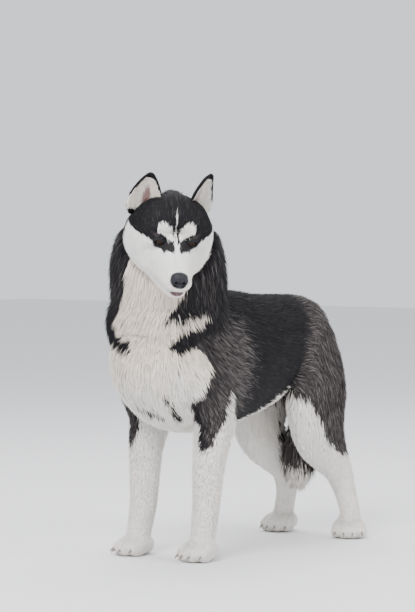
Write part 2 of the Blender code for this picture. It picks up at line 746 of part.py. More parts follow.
def lock_mesh(tree, root, way, kind, chance):
    """One lock of hair: a flat tapered bar that leaves the core and lies along it to its tip.

    It starts ROOT_DEPTH under the surface, follows it in three strides, each along the
    given way in the surface, and rises to the height of the tips.
    """
    length, width, thick, lift = kind
    length *= chance.uniform(0.86, 1.12)
    width *= chance.uniform(0.88, 1.12)
    spot, normal = tree.find_nearest(root)[:2]
    stations = [(0.0, -ROOT_DEPTH, 0.60, 0.8), (0.34, 0.20 * lift, 1.00, 1.0),
                (0.72, 0.62 * lift, 0.74, 0.8), (1.0, lift, 0.0, 0.0)]
    middle, sides, ups, done = [], [], [], 0.0
    for share, height, _, _ in stations:
        ahead = tangent(way, normal)
        if share > done:
            spot, normal = tree.find_nearest(spot + ahead * length * (share - done))[:2]
            done = share
        middle.append(spot + normal * height)
        sides.append(normal.cross(ahead).normalized())
        ups.append(normal)
    rings = []
    for at, side, up, (_, _, broad, deep) in zip(middle[:3], sides, ups, stations):
        half, rise = side * width * broad / 2, up * thick * deep / 2
        rings.append([at + half, at + rise, at - half, at - rise])
    work = bmesh.new()
    verts = [[work.verts.new(p) for p in ring] for ring in rings]
    tip = work.verts.new(middle[3])
    for low, high in zip(verts, verts[1:]):
        for i in range(4):
            k = (i + 1) % 4
            work.faces.new((low[i], low[k], high[k], high[i]))
    for i in range(4):
        work.faces.new((verts[2][i], verts[2][(i + 1) % 4], tip))
    work.faces.new(verts[0])
    bmesh.ops.recalc_face_normals(work, faces=work.faces)
    bmesh.ops.triangulate(work, faces=work.faces)
    mesh = bpy.data.meshes.new("lock")
    work.to_mesh(mesh)
    work.free()
    return mesh


def add_locks(item, locks):
    """Join locks to a core with one union, by MANIFOLD as EXACT leaves openings."""
    group = bpy.data.collections.new("locks")
    bpy.context.scene.collection.children.link(group)
    for mesh in locks:
        group.objects.link(bpy.data.objects.new("lock", mesh))
    step = item.modifiers.new("union", "BOOLEAN")
    step.operation = "UNION"
    step.solver = "MANIFOLD"
    step.operand_type = "COLLECTION"
    step.collection = group
    settle(item)
    drop(*group.objects)
    bpy.data.collections.remove(group)
    return largest_body(item)


def staggered(rows, spacing, perimeter):
    """Places in even rows, every other row shifted by half a place: row share and turn share."""
    places = []
    for i, share in enumerate(rows):
        count = max(4, round(perimeter(share) / spacing))
        for j in range(count):
            places.append((share, (j + 0.5 * (i % 2)) / count))
    return places


def on_grid(grid, share, turn):
    """The point of a ring grid at a share of its length and of its turn."""
    count, sides = grid.shape[:2]
    a, b = share * (count - 1), turn * sides
    i, j = min(int(a), count - 2), int(b) % sides
    u, v, k = a - i, b % 1.0, (j + 1) % sides
    low = grid[i, j] * (1 - v) + grid[i, k] * v
    high = grid[i + 1, j] * (1 - v) + grid[i + 1, k] * v
    return Vector(low * (1 - u) + high * u)


def girth(grid):
    """The length around a grid's ring at a share of its length."""
    around = np.linalg.norm(grid - np.roll(grid, 1, 1), axis=2).sum(1)
    return lambda share: np.interp(share * (len(around) - 1), range(len(around)), around)


def locks_along(grid, rows, spacing, tree, kind, chance, wanted, drift=(0, 0, 0), step=0.05):
    """Locks in staggered rows over a ring grid, where wanted(root, turn) agrees.

    They lie along the grid, towards higher shares for a positive step, and drift aside.
    """
    locks = []
    for share, turn in staggered(rows, spacing, girth(grid)):
        share += chance.uniform(-0.012, 0.012)
        turn += chance.uniform(-0.008, 0.008)
        root = on_grid(grid, min(max(share, 0.0), 1.0), turn)
        if not wanted(root, turn % 1.0):
            continue
        other = on_grid(grid, min(max(share + step, 0.0), 1.0), turn)
        way = (other - root) if (other - root).length > 1e-5 else Vector((0, 0, -1))
        way = way.normalized() + Vector(drift) + Vector(chance.uniform(-0.12, 0.12, 3))
        locks.append(lock_mesh(tree, root, way, kind, chance))
    return locks


def bib_locks(tree, chance):
    """The locks down the front of the chest, between the forelegs."""
    locks = []
    for row, z in enumerate((0.392, 0.350, 0.312)):
        reach = 0.088 if row < 2 else 0.055
        for x in np.arange(-reach, reach + 0.001, 0.044) + 0.022 * (row % 2):
            spot = tree.ray_cast(Vector((x, -0.5, z)), Vector((0, 1, 0)))[0]
            way = Vector((0.9 * x, 0.1, -1)) + Vector(chance.uniform(-0.08, 0.08, 3))
            locks.append(lock_mesh(tree, spot, way, BIB, chance))
    return locks


def dress(nodes, skin, head):
    """Root the long hair in its nodes and keep every node clear of its neighbours."""
    chance = np.random.default_rng(11)
    body = nodes["torso"]
    add_locks(body, bib_locks(skin, chance))
    for side in ("left", "right"):
        inner, outer = leg_cutters("fore", side)
        combine(body, outer, "DIFFERENCE", "MANIFOLD")
        drop(inner, outer)
    largest_body(body)
    for side in ("left", "right"):
        leg = nodes[f"hindleg_{side}"]
        locks = locks_along(leg_grid("hind", side), np.linspace(0.15, 0.44, 4), 0.050, skin, BREECHES,
                            chance, lambda root, turn: 0.60 < turn < 0.90, (0, 0.25, -0.3))
        add_locks(leg, locks)
        clear_of(leg, [body])
    core = surface(head)

    def on_neck(root, _):
        near, normal, _, away = core.find_nearest(root)
        outside = (root - near).dot(normal) > 0 and away > 0.006
        margin = 0.010 if root.y < WITHERS_Y else 0.050
        return outside and (root - NECK_CUT[0]).dot(NECK_CUT[1].normalized()) > margin

    rows = np.linspace(0.28, 0.85, 5)
    locks = locks_along(neck_grid(), rows, 0.065, skin, RUFF, chance, on_neck, step=-0.05)
    add_locks(nodes["neck"], locks)
    legs = [nodes["foreleg_left"], nodes["foreleg_right"]]
    ears = [bpy.data.objects["ear_left"], bpy.data.objects["ear_right"]]
    clear_of(nodes["neck"], [body, *legs, head, *ears])


def surface(item):
    """A tree for finding the nearest point of an object's surface."""
    return BVHTree.FromObject(item, bpy.context.evaluated_depsgraph_get())


def build_tail(body):
    """The tail with its brush, hanging clear of rump and thighs."""
    tail = new_object("tail", closed_mesh("tail", tail_grid()))
    chance = np.random.default_rng(35)
    add_locks(tail, locks_along(tail_grid(), np.linspace(0.08, 0.78, 5), 0.062, surface(tail), BRUSH,
                                chance, lambda root, turn: True))
    clear_of(tail, body)
    paint(tail, "grizzled_coat")
    return tail


def gather():
    """Shade the parts, centre their bounding box over the origin, and collect them."""
    items = list(bpy.data.objects)
    points = np.concatenate([[v.co for v in item.data.vertices] for item in items])
    middle = (points.min(0) + points.max(0)) / 2
    for item in items:
        item.data.transform(Matrix.Translation((-middle[0], -middle[1], 0.0)))
        item.data.shade_smooth()
        item.data.set_sharp_from_angle(angle=np.radians(SHARP_ANGLE))
        collection("siberian_husky").objects.link(item)
        collection("cutters").objects.unlink(item)


def main():
    """Build every node of the model."""
    clear_scene()
    nodes, skin = build_trunk()
    head = build_head()
    dress(nodes, skin, head)
    for item in nodes.values():
        paint(item, "white_coat")
    for kind in ("fore", "hind"):
        for side in ("left", "right"):
            build_paw(kind, side)
    build_tail([nodes["torso"], nodes["hindleg_left"], nodes["hindleg_right"]])
    gather()


main()
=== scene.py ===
"""A standing Siberian husky, life size, dressed as a museum model: skin, coat, eyes, nose, claws.

The shapes are worked out in the dog's own coordinates, in metres: x to its left, -y ahead, z up,
with the fore legs near y 0 and the midline at x 0. The head has a frame of its own, +y ahead and
+x to its right, with the eyes at 0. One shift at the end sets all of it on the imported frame.
"""

import bmesh
import bpy
import numpy as np
from mathutils import Matrix, Vector


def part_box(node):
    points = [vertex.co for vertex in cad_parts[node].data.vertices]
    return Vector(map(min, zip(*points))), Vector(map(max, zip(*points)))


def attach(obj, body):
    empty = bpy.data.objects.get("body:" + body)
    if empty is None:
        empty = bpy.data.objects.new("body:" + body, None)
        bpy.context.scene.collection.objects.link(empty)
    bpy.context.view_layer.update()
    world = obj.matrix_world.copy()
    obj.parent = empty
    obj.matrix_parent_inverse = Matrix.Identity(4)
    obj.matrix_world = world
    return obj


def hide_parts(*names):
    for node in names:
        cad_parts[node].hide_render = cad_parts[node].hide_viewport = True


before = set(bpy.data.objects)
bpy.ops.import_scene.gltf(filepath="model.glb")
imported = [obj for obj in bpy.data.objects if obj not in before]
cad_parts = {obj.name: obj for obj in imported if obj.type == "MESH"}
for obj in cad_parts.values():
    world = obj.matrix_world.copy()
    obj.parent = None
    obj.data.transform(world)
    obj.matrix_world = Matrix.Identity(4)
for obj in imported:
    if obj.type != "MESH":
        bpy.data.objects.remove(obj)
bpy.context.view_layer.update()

# Sizes and places that the solids share
EYE_HALF = 0.0315
EYE_RADIUS = 0.0115
EYE_SET = -0.0002
EYE_TURN = 14.0
EYE_SLANT = 12.0
HEAD_AT = Vector((0.1364, -0.1729, 0.667))
HEAD_TURN = 50.5
HEAD_PITCH = 26.0
HEAD_ROLL = 3.0
MID_CHEST = 0.415

# Rings of the torso: y, height of the middle, half width, reach up, reach down, depth of the coat
TORSO = (
    (-0.154, MID_CHEST, 0.018, 0.016, 0.018, 0.008),
    (-0.143, MID_CHEST, 0.052, 0.048, 0.054, 0.016),
    (-0.118, MID_CHEST, 0.088, 0.085, 0.092, 0.018),
    (-0.070, MID_CHEST, 0.112, 0.130, 0.132, 0.018),
    (0.000, MID_CHEST, 0.120, 0.158, 0.153, 0.016),
    (0.080, MID_CHEST, 0.122, 0.155, 0.152, 0.015),
    (0.160, 0.418, 0.120, 0.146, 0.144, 0.014),
    (0.240, 0.425, 0.113, 0.134, 0.131, 0.014),
    (0.320, 0.444, 0.100, 0.110, 0.112, 0.014),
    (0.385, 0.455, 0.093, 0.096, 0.101, 0.015),
    (0.428, 0.450, 0.080, 0.092, 0.098, 0.016),
    (0.458, 0.445, 0.060, 0.078, 0.084, 0.016),
    (0.480, 0.440, 0.036, 0.052, 0.058, 0.014),
    (0.492, 0.440, 0.014, 0.020, 0.024, 0.007),
)
# Rings of neck, limbs and tail: centre x, y, z, half width, reach front, reach back, coat depth
NECK = (
    (0.000, 0.030, 0.405, 0.108, 0.120, 0.120, 0.018),
    (-0.002, -0.015, 0.495, 0.122, 0.118, 0.122, 0.020),
    (0.016, -0.052, 0.565, 0.130, 0.107, 0.113, 0.023),
    (0.042, -0.082, 0.625, 0.127, 0.095, 0.101, 0.024),
    (0.064, -0.100, 0.670, 0.112, 0.083, 0.089, 0.022),
    (0.077, -0.110, 0.703, 0.085, 0.060, 0.066, 0.018),
    (0.084, -0.116, 0.724, 0.046, 0.032, 0.036, 0.012),
)
FORELEG = (
    (0.066, -0.050, 0.450, 0.046, 0.055, 0.060, 0.014),
    (0.080, -0.030, 0.395, 0.048, 0.060, 0.066, 0.012),
    (0.084, 0.004, 0.340, 0.047, 0.055, 0.058, 0.010),
    (0.082, 0.020, 0.290, 0.044, 0.045, 0.049, 0.008),
    (0.080, 0.012, 0.240, 0.040, 0.039, 0.041, 0.006),
    (0.078, 0.004, 0.185, 0.035, 0.035, 0.036, 0.005),
    (0.077, 0.000, 0.120, 0.031, 0.032, 0.031, 0.004),
    (0.078, -0.008, 0.075, 0.028, 0.030, 0.029, 0.003),
    (0.079, -0.018, 0.035, 0.026, 0.028, 0.026, 0.002),
)
HIND_LEG = (
    (0.048, 0.392, 0.480, 0.046, 0.075, 0.066, 0.014),
    (0.062, 0.384, 0.420, 0.051, 0.090, 0.088, 0.014),
    (0.074, 0.380, 0.350, 0.052, 0.090, 0.100, 0.014),
    (0.080, 0.374, 0.290, 0.047, 0.078, 0.096, 0.012),
    (0.077, 0.394, 0.236, 0.042, 0.068, 0.084, 0.010),
    (0.074, 0.438, 0.190, 0.034, 0.050, 0.056, 0.007),
    (0.077, 0.472, 0.150, 0.029, 0.038, 0.036, 0.005),
    (0.084, 0.487, 0.100, 0.024, 0.027, 0.028, 0.003),
    (0.093, 0.491, 0.060, 0.023, 0.025, 0.026, 0.003),
    (0.096, 0.487, 0.030, 0.023, 0.025, 0.025, 0.002),
)
TAIL = (
    (0.000, 0.458, 0.500, 0.020, 0.022, 0.022, 0.008),
    (0.000, 0.482, 0.466, 0.031, 0.030, 0.030, 0.014),
    (0.000, 0.499, 0.415, 0.040, 0.037, 0.039, 0.021),
    (0.000, 0.498, 0.350, 0.048, 0.043, 0.045, 0.029),
    (-0.001, 0.474, 0.285, 0.052, 0.046, 0.046, 0.033),
    (-0.002, 0.444, 0.225, 0.049, 0.044, 0.044, 0.032),
    (-0.003, 0.428, 0.165, 0.040, 0.036, 0.038, 0.026),
    (-0.003, 0.430, 0.125, 0.024, 0.022, 0.024, 0.016),
)
RIGHT_SHIFT = {"fore": (-0.009, -0.012), "hind": (0.003, -0.002)}
RIGHT_KNEE = -0.024
PAW_TURN = {
    ("fore", "left"): 0.0,
    ("fore", "right"): -12.0,
    ("hind", "left"): 32.0,
    ("hind", "right"): 8.0,
}
# Rings of the head in its own frame: forward y, top z, floor z, half width, coat depth
SKULL = (
    (0.018, -0.006, -0.060, 0.0290, 0.002),
    (0.004, 0.010, -0.078, 0.0510, 0.003),
    (-0.012, 0.028, -0.090, 0.0670, 0.004),
    (-0.032, 0.049, -0.094, 0.0800, 0.005),
    (-0.055, 0.071, -0.093, 0.0895, 0.007),
    (-0.080, 0.088, -0.087, 0.0935, 0.009),
    (-0.104, 0.091, -0.072, 0.0860, 0.011),
    (-0.126, 0.073, -0.045, 0.0640, 0.012),
    (-0.140, 0.042, -0.015, 0.0300, 0.010),
)
MUZZLE = (
    (0.0935, -0.041, -0.060, 0.0120, 0.001),
    (0.088, -0.031, -0.069, 0.0205, 0.0015),
    (0.076, -0.0225, -0.0745, 0.0275, 0.0015),
    (0.058, -0.0165, -0.0765, 0.0320, 0.002),
    (0.040, -0.011, -0.0785, 0.0365, 0.002),
    (0.022, -0.003, -0.0805, 0.0430, 0.0025),
    (0.004, 0.008, -0.082, 0.0490, 0.003),
    (-0.020, 0.016, -0.083, 0.0540, 0.003),
)
JAW = (
    (0.081, -0.066, -0.079, 0.0100, 0.001),
    (0.075, -0.062, -0.0870, 0.0180, 0.0015),
    (0.060, -0.060, -0.0930, 0.0225, 0.002),
    (0.038, -0.060, -0.0965, 0.0270, 0.002),
    (0.012, -0.060, -0.0985, 0.0340, 0.003),
    (-0.015, -0.055, -0.0980, 0.0440, 0.004),
    (-0.045, -0.050, -0.0960, 0.0520, 0.005),
)
WIDEST = -0.26
LID_RADIUS = 0.0138
LID_OPENING = (0.0106, 0.0062, 0.0050)
NOSE_AT = np.array((0.0, 0.0890, -0.0425))
MOUTH_HEIGHT = -0.0665
MOUTH_DROOP = 0.22
MOUTH_CORNER = 0.020
MOUTH_GAP = 0.0012
# Each ear: base, tip, the direction its cup opens to, and its width, in the head's frame
EARS = {
    "right": ((0.0600, -0.066, 0.044), (0.0540, -0.062, 0.1225), (0.30, 0.95, 0.05), 0.086),
    "left": ((-0.0560, -0.066, 0.044), (-0.0680, -0.061, 0.127), (-0.60, 0.80, 0.05), 0.083),
}
EAR_WALL = 0.0034
EAR_CUP = 0.019
# Rings of one toe in the paw's frame, toes towards -y: y, z, half width, reach up, reach down
TOE = (
    (0.012, 0.022, 0.0090, 0.0095, 0.014),
    (-0.006, 0.027, 0.0107, 0.0115, 0.019),
    (-0.022, 0.026, 0.0113, 0.0130, 0.022),
    (-0.035, 0.020, 0.0115, 0.0135, 0.022),
    (-0.046, 0.0145, 0.0105, 0.0120, 0.0170),
    (-0.053, 0.011, 0.0062, 0.0075, 0.0095),
)
TOES = ((-0.0220, 0.012, -9.0), (-0.0080, 0.000, -2.0), (0.0080, 0.000, 2.0), (0.0220, 0.012, 9.0))
CLAW = (
    (-0.045, 0.0155, 0.0024, 0.0030, 0.0030),
    (-0.053, 0.0142, 0.0022, 0.0028, 0.0028),
    (-0.059, 0.0112, 0.0016, 0.0020, 0.0020),
    (-0.063, 0.0070, 0.0006, 0.0007, 0.0007),
)

# Voxel size and rounds of smoothing of each melted shape
SKIN_MELT = (0.0050, 8)
HEAD_MELT = (0.0018, 14)
NOSE_MELT = (0.0006, 8)

# The coat along each part, at even steps from its first ring to its last:
# length and width of the tufts in metres, and tufts on a square centimetre
COAT = {
    "muzzle": ((0.0045, 0.0060, 0.0080, 0.0110), (0.0010, 0.0012, 0.0014, 0.0016), (66, 50, 40, 34)),
    "skull": ((0.0080, 0.0130, 0.0210, 0.0300), (0.0013, 0.0017, 0.0022, 0.0026), (42, 32, 24, 20)),
    "ear": ((0.0110, 0.0100, 0.0080), (0.0017, 0.0016, 0.0014), (26, 26, 28)),
    "neck": (
        (0.042, 0.044, 0.044, 0.040, 0.034),
        (0.0031, 0.0031, 0.0030, 0.0028, 0.0025),
        (15, 16, 17, 17, 18)),
    "torso": (
        (0.036, 0.040, 0.040, 0.040, 0.042),
        (0.0030, 0.0031, 0.0031, 0.0031, 0.0031),
        (15, 13, 12, 12, 13)),
    "foreleg": (
        (0.036, 0.026, 0.017, 0.012, 0.009),
        (0.0030, 0.0027, 0.0024, 0.0020, 0.0016),
        (12, 12, 13, 15, 22)),
    "hindleg": (
        (0.042, 0.038, 0.026, 0.014, 0.009),
        (0.0031, 0.0031, 0.0027, 0.0021, 0.0017),
        (13, 12, 12, 15, 20)),
    "tail": (
        (0.034, 0.060, 0.070, 0.066, 0.048),
        (0.0030, 0.0034, 0.0036, 0.0034, 0.0030),
        (18, 18, 18, 18, 20)),
}
CHEST_BACK = -0.055    # y where the chest's piece of coat ends
RUMP_FRONT = 0.190     # y where the rump's piece begins
SINK = 0.0012          # how deep a tuft is rooted under the skin
PATCH = 0.003          # size of a tuft's patch on its map
SEEN = 0.62            # share of a tuft's outer half where its colour is read
COAT_SEED = 5          # of the tufts' random draws
LOWEST = 0.0012        # how near the floor a tuft may reach

# Linear colours of the coat
WHITE = np.array((0.850, 0.840, 0.810))
CREAM = np.array((0.760, 0.655, 0.550))
BLACK = np.array((0.0085, 0.0080, 0.0100))
BROWN = np.array((0.038, 0.032, 0.032))
PALE_TIP = np.array((0.250, 0.225, 0.212))
EAR_PINK = np.array((0.150, 0.045, 0.048))
LIP = np.array((0.120, 0.070, 0.082))
RIM = np.array((0.012, 0.011, 0.012))
# The eye's colours, and the angles from ahead, in radians, where its zones end
PUPIL = np.array((0.003, 0.003, 0.003))
IRIS_DARK = np.array((0.016, 0.009, 0.006))
IRIS_LIGHT = np.array((0.046, 0.025, 0.014))
IRIS_RING = np.array((0.008, 0.006, 0.005))
EYE_CORNER = np.array((0.016, 0.013, 0.013))
PUPIL_EDGE, IRIS_EDGE, RING_EDGE = 0.24, 0.60, 0.74


def spline(rows, count):
    """Catmull-Rom curves through the rows of numbers, read at count even places."""
    rows = np.array(rows, float)
    knots = np.vstack([2 * rows[0] - rows[1], rows, 2 * rows[-1] - rows[-2]])
    place = np.linspace(0, len(rows) - 1, count)
    start = np.minimum(place.astype(int), len(rows) - 2)
    u = (place - start)[:, None]
    a, b, c, d = (knots[start + k] for k in range(4))
    square = 2 * a - 5 * b + 4 * c - d
    cube = 3 * b - a - 3 * c + d
    return 0.5 * (2 * b + (c - a) * u + square * u**2 + cube * u**3)


def unit(vectors):
    """Vectors of length one."""
    return vectors / np.maximum(np.linalg.norm(vectors, axis=-1, keepdims=True), 1e-9)


def soft(value, edge, width):
    """0 below an edge and 1 above it, with a smooth rise of that width."""
    t = np.clip((value - edge) / width + 0.5, 0, 1)
    return t * t * (3 - 2 * t)


def mix(a, b, share):
    """Colours between a and b."""
    share = np.asarray(share)[..., None]
    return a * (1 - share) + b * share


def noise(points, size, seed):
    """Smooth noise from -1 to 1: random values on a lattice of that size, blended in between."""
    place = points / size + 31.7 * (seed + 1)
    cell = np.floor(place).astype(np.int64)
    t = place - cell
    t = t * t * (3 - 2 * t)
    total = np.zeros(len(points))
    for corner in np.ndindex(2, 2, 2):
        x, y, z = (cell + corner).T
        mixed = (x * 73856093) ^ (y * 19349663) ^ (z * 83492791) ^ (seed * 2654435)
        value = ((mixed * 1103515245 + 12345) >> 8 & 0xFFFF) / 32767.5 - 1
        total += value * np.prod(np.where(corner, t, 1 - t), axis=1)
    return total


def oval_rings(rows, front, count, sides, square=2.0):
    """Ovals along a curved middle line: side * cos(a) * half + front * sin(a) * reach.

    A row is centre x, y, z, half width, reach front, reach back and coat depth, and the
    depth is taken off every reach. square is the power of the oval.
    """
    track = spline(rows, count)
    middle = track[:, :3]
    along = unit(np.gradient(middle, axis=0))
    front = np.array(front, float).reshape(-1, 3)
    blend = np.linspace(0, 1, count)[:, None]
    facing = unit(front[0] * (1 - blend) + front[-1] * blend)
    side = unit(np.cross(facing, along))
    depth = unit(np.cross(along, side))
    depth *= np.sign((depth * facing).sum(1, keepdims=True))
    angle = np.linspace(0, 2 * np.pi, sides, endpoint=False)
    wide, high = (np.sign(f) * np.abs(f)**(2 / square) for f in (np.cos(angle), np.sin(angle)))
    under = np.maximum(track[:, 3:6] - track[:, 6:7], 0.3 * track[:, 3:6])
    across = wide[None, :, None] * under[:, 0, None, None]
    reach = np.where(high > 0, under[:, 1, None], under[:, 2, None])
    return middle[:, None] + across * side[:, None] + (high * reach)[:, :, None] * depth[:, None]


def tube(grid, matrix=None):
    """Points and faces of a closed tube over a grid of rings, its ends closed by flat caps."""
    count, sides = grid.shape[:2]
    i, j = np.meshgrid(np.arange(count - 1), np.arange(sides), indexing="ij")
    k = (j + 1) % sides
    quads = np.stack([i * sides + j, i * sides + k, (i + 1) * sides + k, (i + 1) * sides + j], -1)
    caps = [list(range(sides - 1, -1, -1)), list(range((count - 1) * sides, count * sides))]
    points = grid.reshape(-1, 3)
    if matrix is not None:
        points = moved(points, matrix)
    return points, quads.reshape(-1, 4).tolist() + caps


def moved(points, matrix):
    """Points carried by a 4 by 4 matrix."""
    matrix = np.array(matrix)
    return points @ matrix[:3, :3].T + matrix[:3, 3]


def egg(at, size, turn=(0.0, 0.0, 0.0), rings=24, sides=32):
    """A closed egg: x, y, z = sizes times (sin v cos u, sin v sin u, cos v), turned and moved."""
    spun = Matrix.Identity(3)
    for degrees, axis in zip(turn, "XYZ"):
        spun = Matrix.Rotation(np.radians(degrees), 3, axis) @ spun
    v = np.linspace(0.06, np.pi - 0.06, rings)[:, None]
    u = np.linspace(0, 2 * np.pi, sides, endpoint=False)[None, :]
    ball = np.stack([np.sin(v) * np.cos(u), np.sin(v) * np.sin(u), np.cos(v) * np.ones_like(u)], -1)
    return tube((ball * np.array(size)) @ np.array(spun).T + np.array(at))


def as_object(name, *shapes):
    """One mesh object of closed shapes, with all faces pointing out."""
    points, faces, start = [], [], 0
    for shape_points, shape_faces in shapes:
        points.append(shape_points)
        faces += [[start + corner for corner in face] for face in shape_faces]
        start += len(shape_points)
    mesh = bpy.data.meshes.new(name)
    mesh.from_pydata(np.concatenate(points).tolist(), [], faces)
    work = bmesh.new()
    work.from_mesh(mesh)
    bmesh.ops.recalc_face_normals(work, faces=work.faces)
    work.to_mesh(mesh)
    work.free()
    item = bpy.data.objects.new(name, mesh)
    bpy.context.scene.collection.objects.link(item)
    return item


def settle(item):
    """Write an object's modifiers into its mesh."""
    graph = bpy.context.evaluated_depsgraph_get()
    mesh = bpy.data.meshes.new_from_object(item.evaluated_get(graph))
    item.modifiers.clear()
    item.data = mesh
    return item


def melted(name, shapes, voxel, smoothing):
    """Closed shapes melted into one skin of small quads."""
    item = as_object(name, *shapes)
    melt = item.modifiers.new("melt", "REMESH")
    melt.mode = "VOXEL"
    melt.voxel_size = voxel
    soften = item.modifiers.new("soften", "SMOOTH")
    soften.factor = 0.5
    soften.iterations = smoothing
    return settle(item)


def combine(item, other, how):
    """Join or cut closed meshes, and remove the second one."""
    step = item.modifiers.new("step", "BOOLEAN")
    step.operation = how
    step.solver = "MANIFOLD"
    step.object = other
    settle(item)
    bpy.data.objects.remove(other, do_unlink=True)
    return item


def head_matrix():
    """From the head's frame to the dog's."""
    turn = Matrix.Rotation(np.radians(HEAD_TURN + 180.0), 4, "Z")
    pitch = Matrix.Rotation(np.radians(-HEAD_PITCH), 4, "X")
    roll = Matrix.Rotation(np.radians(-HEAD_ROLL), 4, "Y")
    return Matrix.Translation(HEAD_AT) @ turn @ pitch @ roll


HEAD = head_matrix()
HEAD_BACK = HEAD.inverted()


def eye_matrix(side):
    """From an eye's frame, +y out of the eye, to the head's frame; side is 1 for the right."""
    turn = Matrix.Rotation(np.radians(-side * EYE_TURN), 4, "Z")
    slant = Matrix.Rotation(np.radians(-side * EYE_SLANT), 4, "Y")
    return Matrix.Translation((side * EYE_HALF, EYE_SET, 0)) @ turn @ slant


def leg_rows(kind, side):
    """The rings of one leg: the left one's, or their mirror image with its paw set apart."""
    rows = np.array(FORELEG if kind == "fore" else HIND_LEG, float)
    if side == "right":
        rows[:, 0] *= -1
        share = np.clip((rows[0, 2] - rows[:, 2]) / (rows[0, 2] - 0.24), 0, 1)
        rows[:, :2] += share[:, None] * np.array(RIGHT_SHIFT[kind])
        if kind == "hind":
            rows[:, 1] += RIGHT_KNEE * np.exp(-((rows[:, 2] - 0.215) / 0.042)**2)
    return rows


def torso_rows():
    """The torso's rings as centre, half width, reach up and down, and coat depth."""
    return [(0.0, y, z, half, up, down, coat) for y, z, half, up, down, coat in TORSO]


def head_rows(table):
    """A head table's rings, widest at WIDEST of their half height."""
    rows = []
    for y, top, floor, half, coat in table:
        level = (top + floor) / 2 + WIDEST * (top - floor) / 2
        rows.append((0.0, y, level, half, top - level, level - floor, coat))
    return rows


def head_ahead():
    """The way that the head faces, in the dog's frame."""
    return tuple(HEAD.to_3x3() @ Vector((0, 1, 0)))


def body_shapes():
    """Trunk, neck, legs and tail under their coat."""
    shapes = [
        tube(oval_rings(torso_rows(), (0, 0, 1), 60, 56)),
        tube(oval_rings(NECK, ((0, -1, 0), head_ahead()), 40, 48)),
        tube(oval_rings(TAIL, (0, -1, 0), 40, 32)),
        egg((0.000, -0.078, 0.492), (0.104, 0.052, 0.085)),
    ]
    for kind in ("fore", "hind"):
        for side in ("left", "right"):
            shapes.append(tube(oval_rings(leg_rows(kind, side), (0, -1, 0), 48, 36)))
            shapes += paw_shapes(kind, side)
    return shapes


def paw_matrix(kind, side):
    """From a paw's frame, toes towards -y and soles at z 0, to the dog's."""
    x, y = leg_rows(kind, side)[-1, :2]
    return Matrix.Translation((x, y, 0.0)) @ Matrix.Rotation(np.radians(PAW_TURN[kind, side]), 4, "Z")


def toe_matrix(paw, toe):
    """From a toe's frame to the dog's."""
    shift, back, turn = TOES[toe]
    return paw @ Matrix.Translation((shift, back, 0)) @ Matrix.Rotation(np.radians(turn), 4, "Z")


def toe_rows(rows):
    """A toe's or claw's rings as centre, half width, reach up and down, with no depth."""
    return [(0.0, y, z, half, up, down, 0.0) for y, z, half, up, down in rows]


def paw_shapes(kind, side):
    """Four toes and the heel of a paw."""
    paw = paw_matrix(kind, side)
    rings = oval_rings(toe_rows(TOE), (0, 0, 1), 20, 20)
    shapes = [tube(rings, toe_matrix(paw, toe)) for toe in range(len(TOES))]
    points, faces = egg((0, 0.006, 0.018), (0.025, 0.029, 0.021))
    return shapes + [(moved(points, paw), faces)]


def head_shapes():
    """Skull, muzzle, jaw, brows and lip pads in the head's frame."""
    shapes = [
        tube(oval_rings(head_rows(SKULL), (0, 0, 1), 48, 56, 2.4)),
        tube(oval_rings(head_rows(MUZZLE), (0, 0, 1), 48, 56, 2.3)),
        tube(oval_rings(head_rows(JAW), (0, 0, 1), 48, 48, 2.0)),
        egg((0, -0.004, 0.003), (0.019, 0.025, 0.013), (-38, 0, 0)),
    ]
    for side in (-1, 1):
        shapes += [
            egg((side * 0.025, -0.015, 0.012), (0.018, 0.016, 0.011), (0, side * 18, 0)),
            egg((side * 0.0130, 0.0705, -0.055), (0.0158, 0.019, 0.0152)),
            egg((side * (EYE_HALF + 0.004), EYE_SET - 0.008, -0.002), (LID_RADIUS + 0.0052,) * 3),
        ]
    return shapes


def mouth_height(x):
    """The height of the mouth line at a distance from the middle: the upper lips hang down."""
    return MOUTH_HEIGHT - MOUTH_DROOP * abs(x)


def mouth_slit():
    """A thin bent slab that parts the lips from the front to the corners of the mouth."""
    half = MOUTH_GAP / 2
    rings = []
    for y in (MOUTH_CORNER, 0.120):
        floor = [(x, y, mouth_height(x) - half) for x in (-0.06, 0.0, 0.06)]
        roof = [(x, y, mouth_height(x) + half) for x in (0.06, 0.0, -0.06)]
        rings.append(floor + roof)
    return tube(np.array(rings))


def lid_opening():
    """A bar with the almond outline of the open lids, from inside the eye to the front."""
    half, up, down = LID_OPENING
    angle = np.linspace(0, 2 * np.pi, 40, endpoint=False)
    x = half * np.cos(angle)
    z = np.sin(angle) * np.where(np.sin(angle) > 0, up, down) * (1 - 0.28 * np.cos(angle)**2)
    return tube(np.array([np.stack([x, np.full_like(x, y), z], 1) for y in (0.004, 0.030)]))


def ear_rings(base, tip, opening, width):
    """A cupped ear: crescents whose half width falls as (1 - t)^0.7, flatter towards the tip."""
    base, tip = np.array(base), np.array(tip)
    along = unit(tip - base)
    across = unit(np.cross(along, np.array(opening)))
    out = np.cross(across, along)
    rings = []
    for t in np.concatenate([[-0.30, -0.15], np.linspace(0, 0.975, 34)]):
        rise = max(t, 0.0)
        half = width / 2 * (1 - rise)**0.70 * (1 - 0.14 * (1 - t)**4) + 0.0004
        cup = EAR_CUP * (1 - 0.75 * rise) * min(1.0, half / 0.012)
        wall = min(EAR_WALL, half * 0.7)
        middle = base + (tip - base) * t - out * 0.004 * np.sin(np.pi * rise)
        back, front = np.linspace(-1, 1, 21), np.linspace(0.93, -0.93, 19)
        outer = middle + np.outer(back * half, across) - np.outer(cup * (1 - back**2), out)
        inner = middle + np.outer(front * half, across) - np.outer(cup * (1 - front**2) - wall, out)
        rings.append(np.concatenate([outer, inner]))
    return np.array(rings)


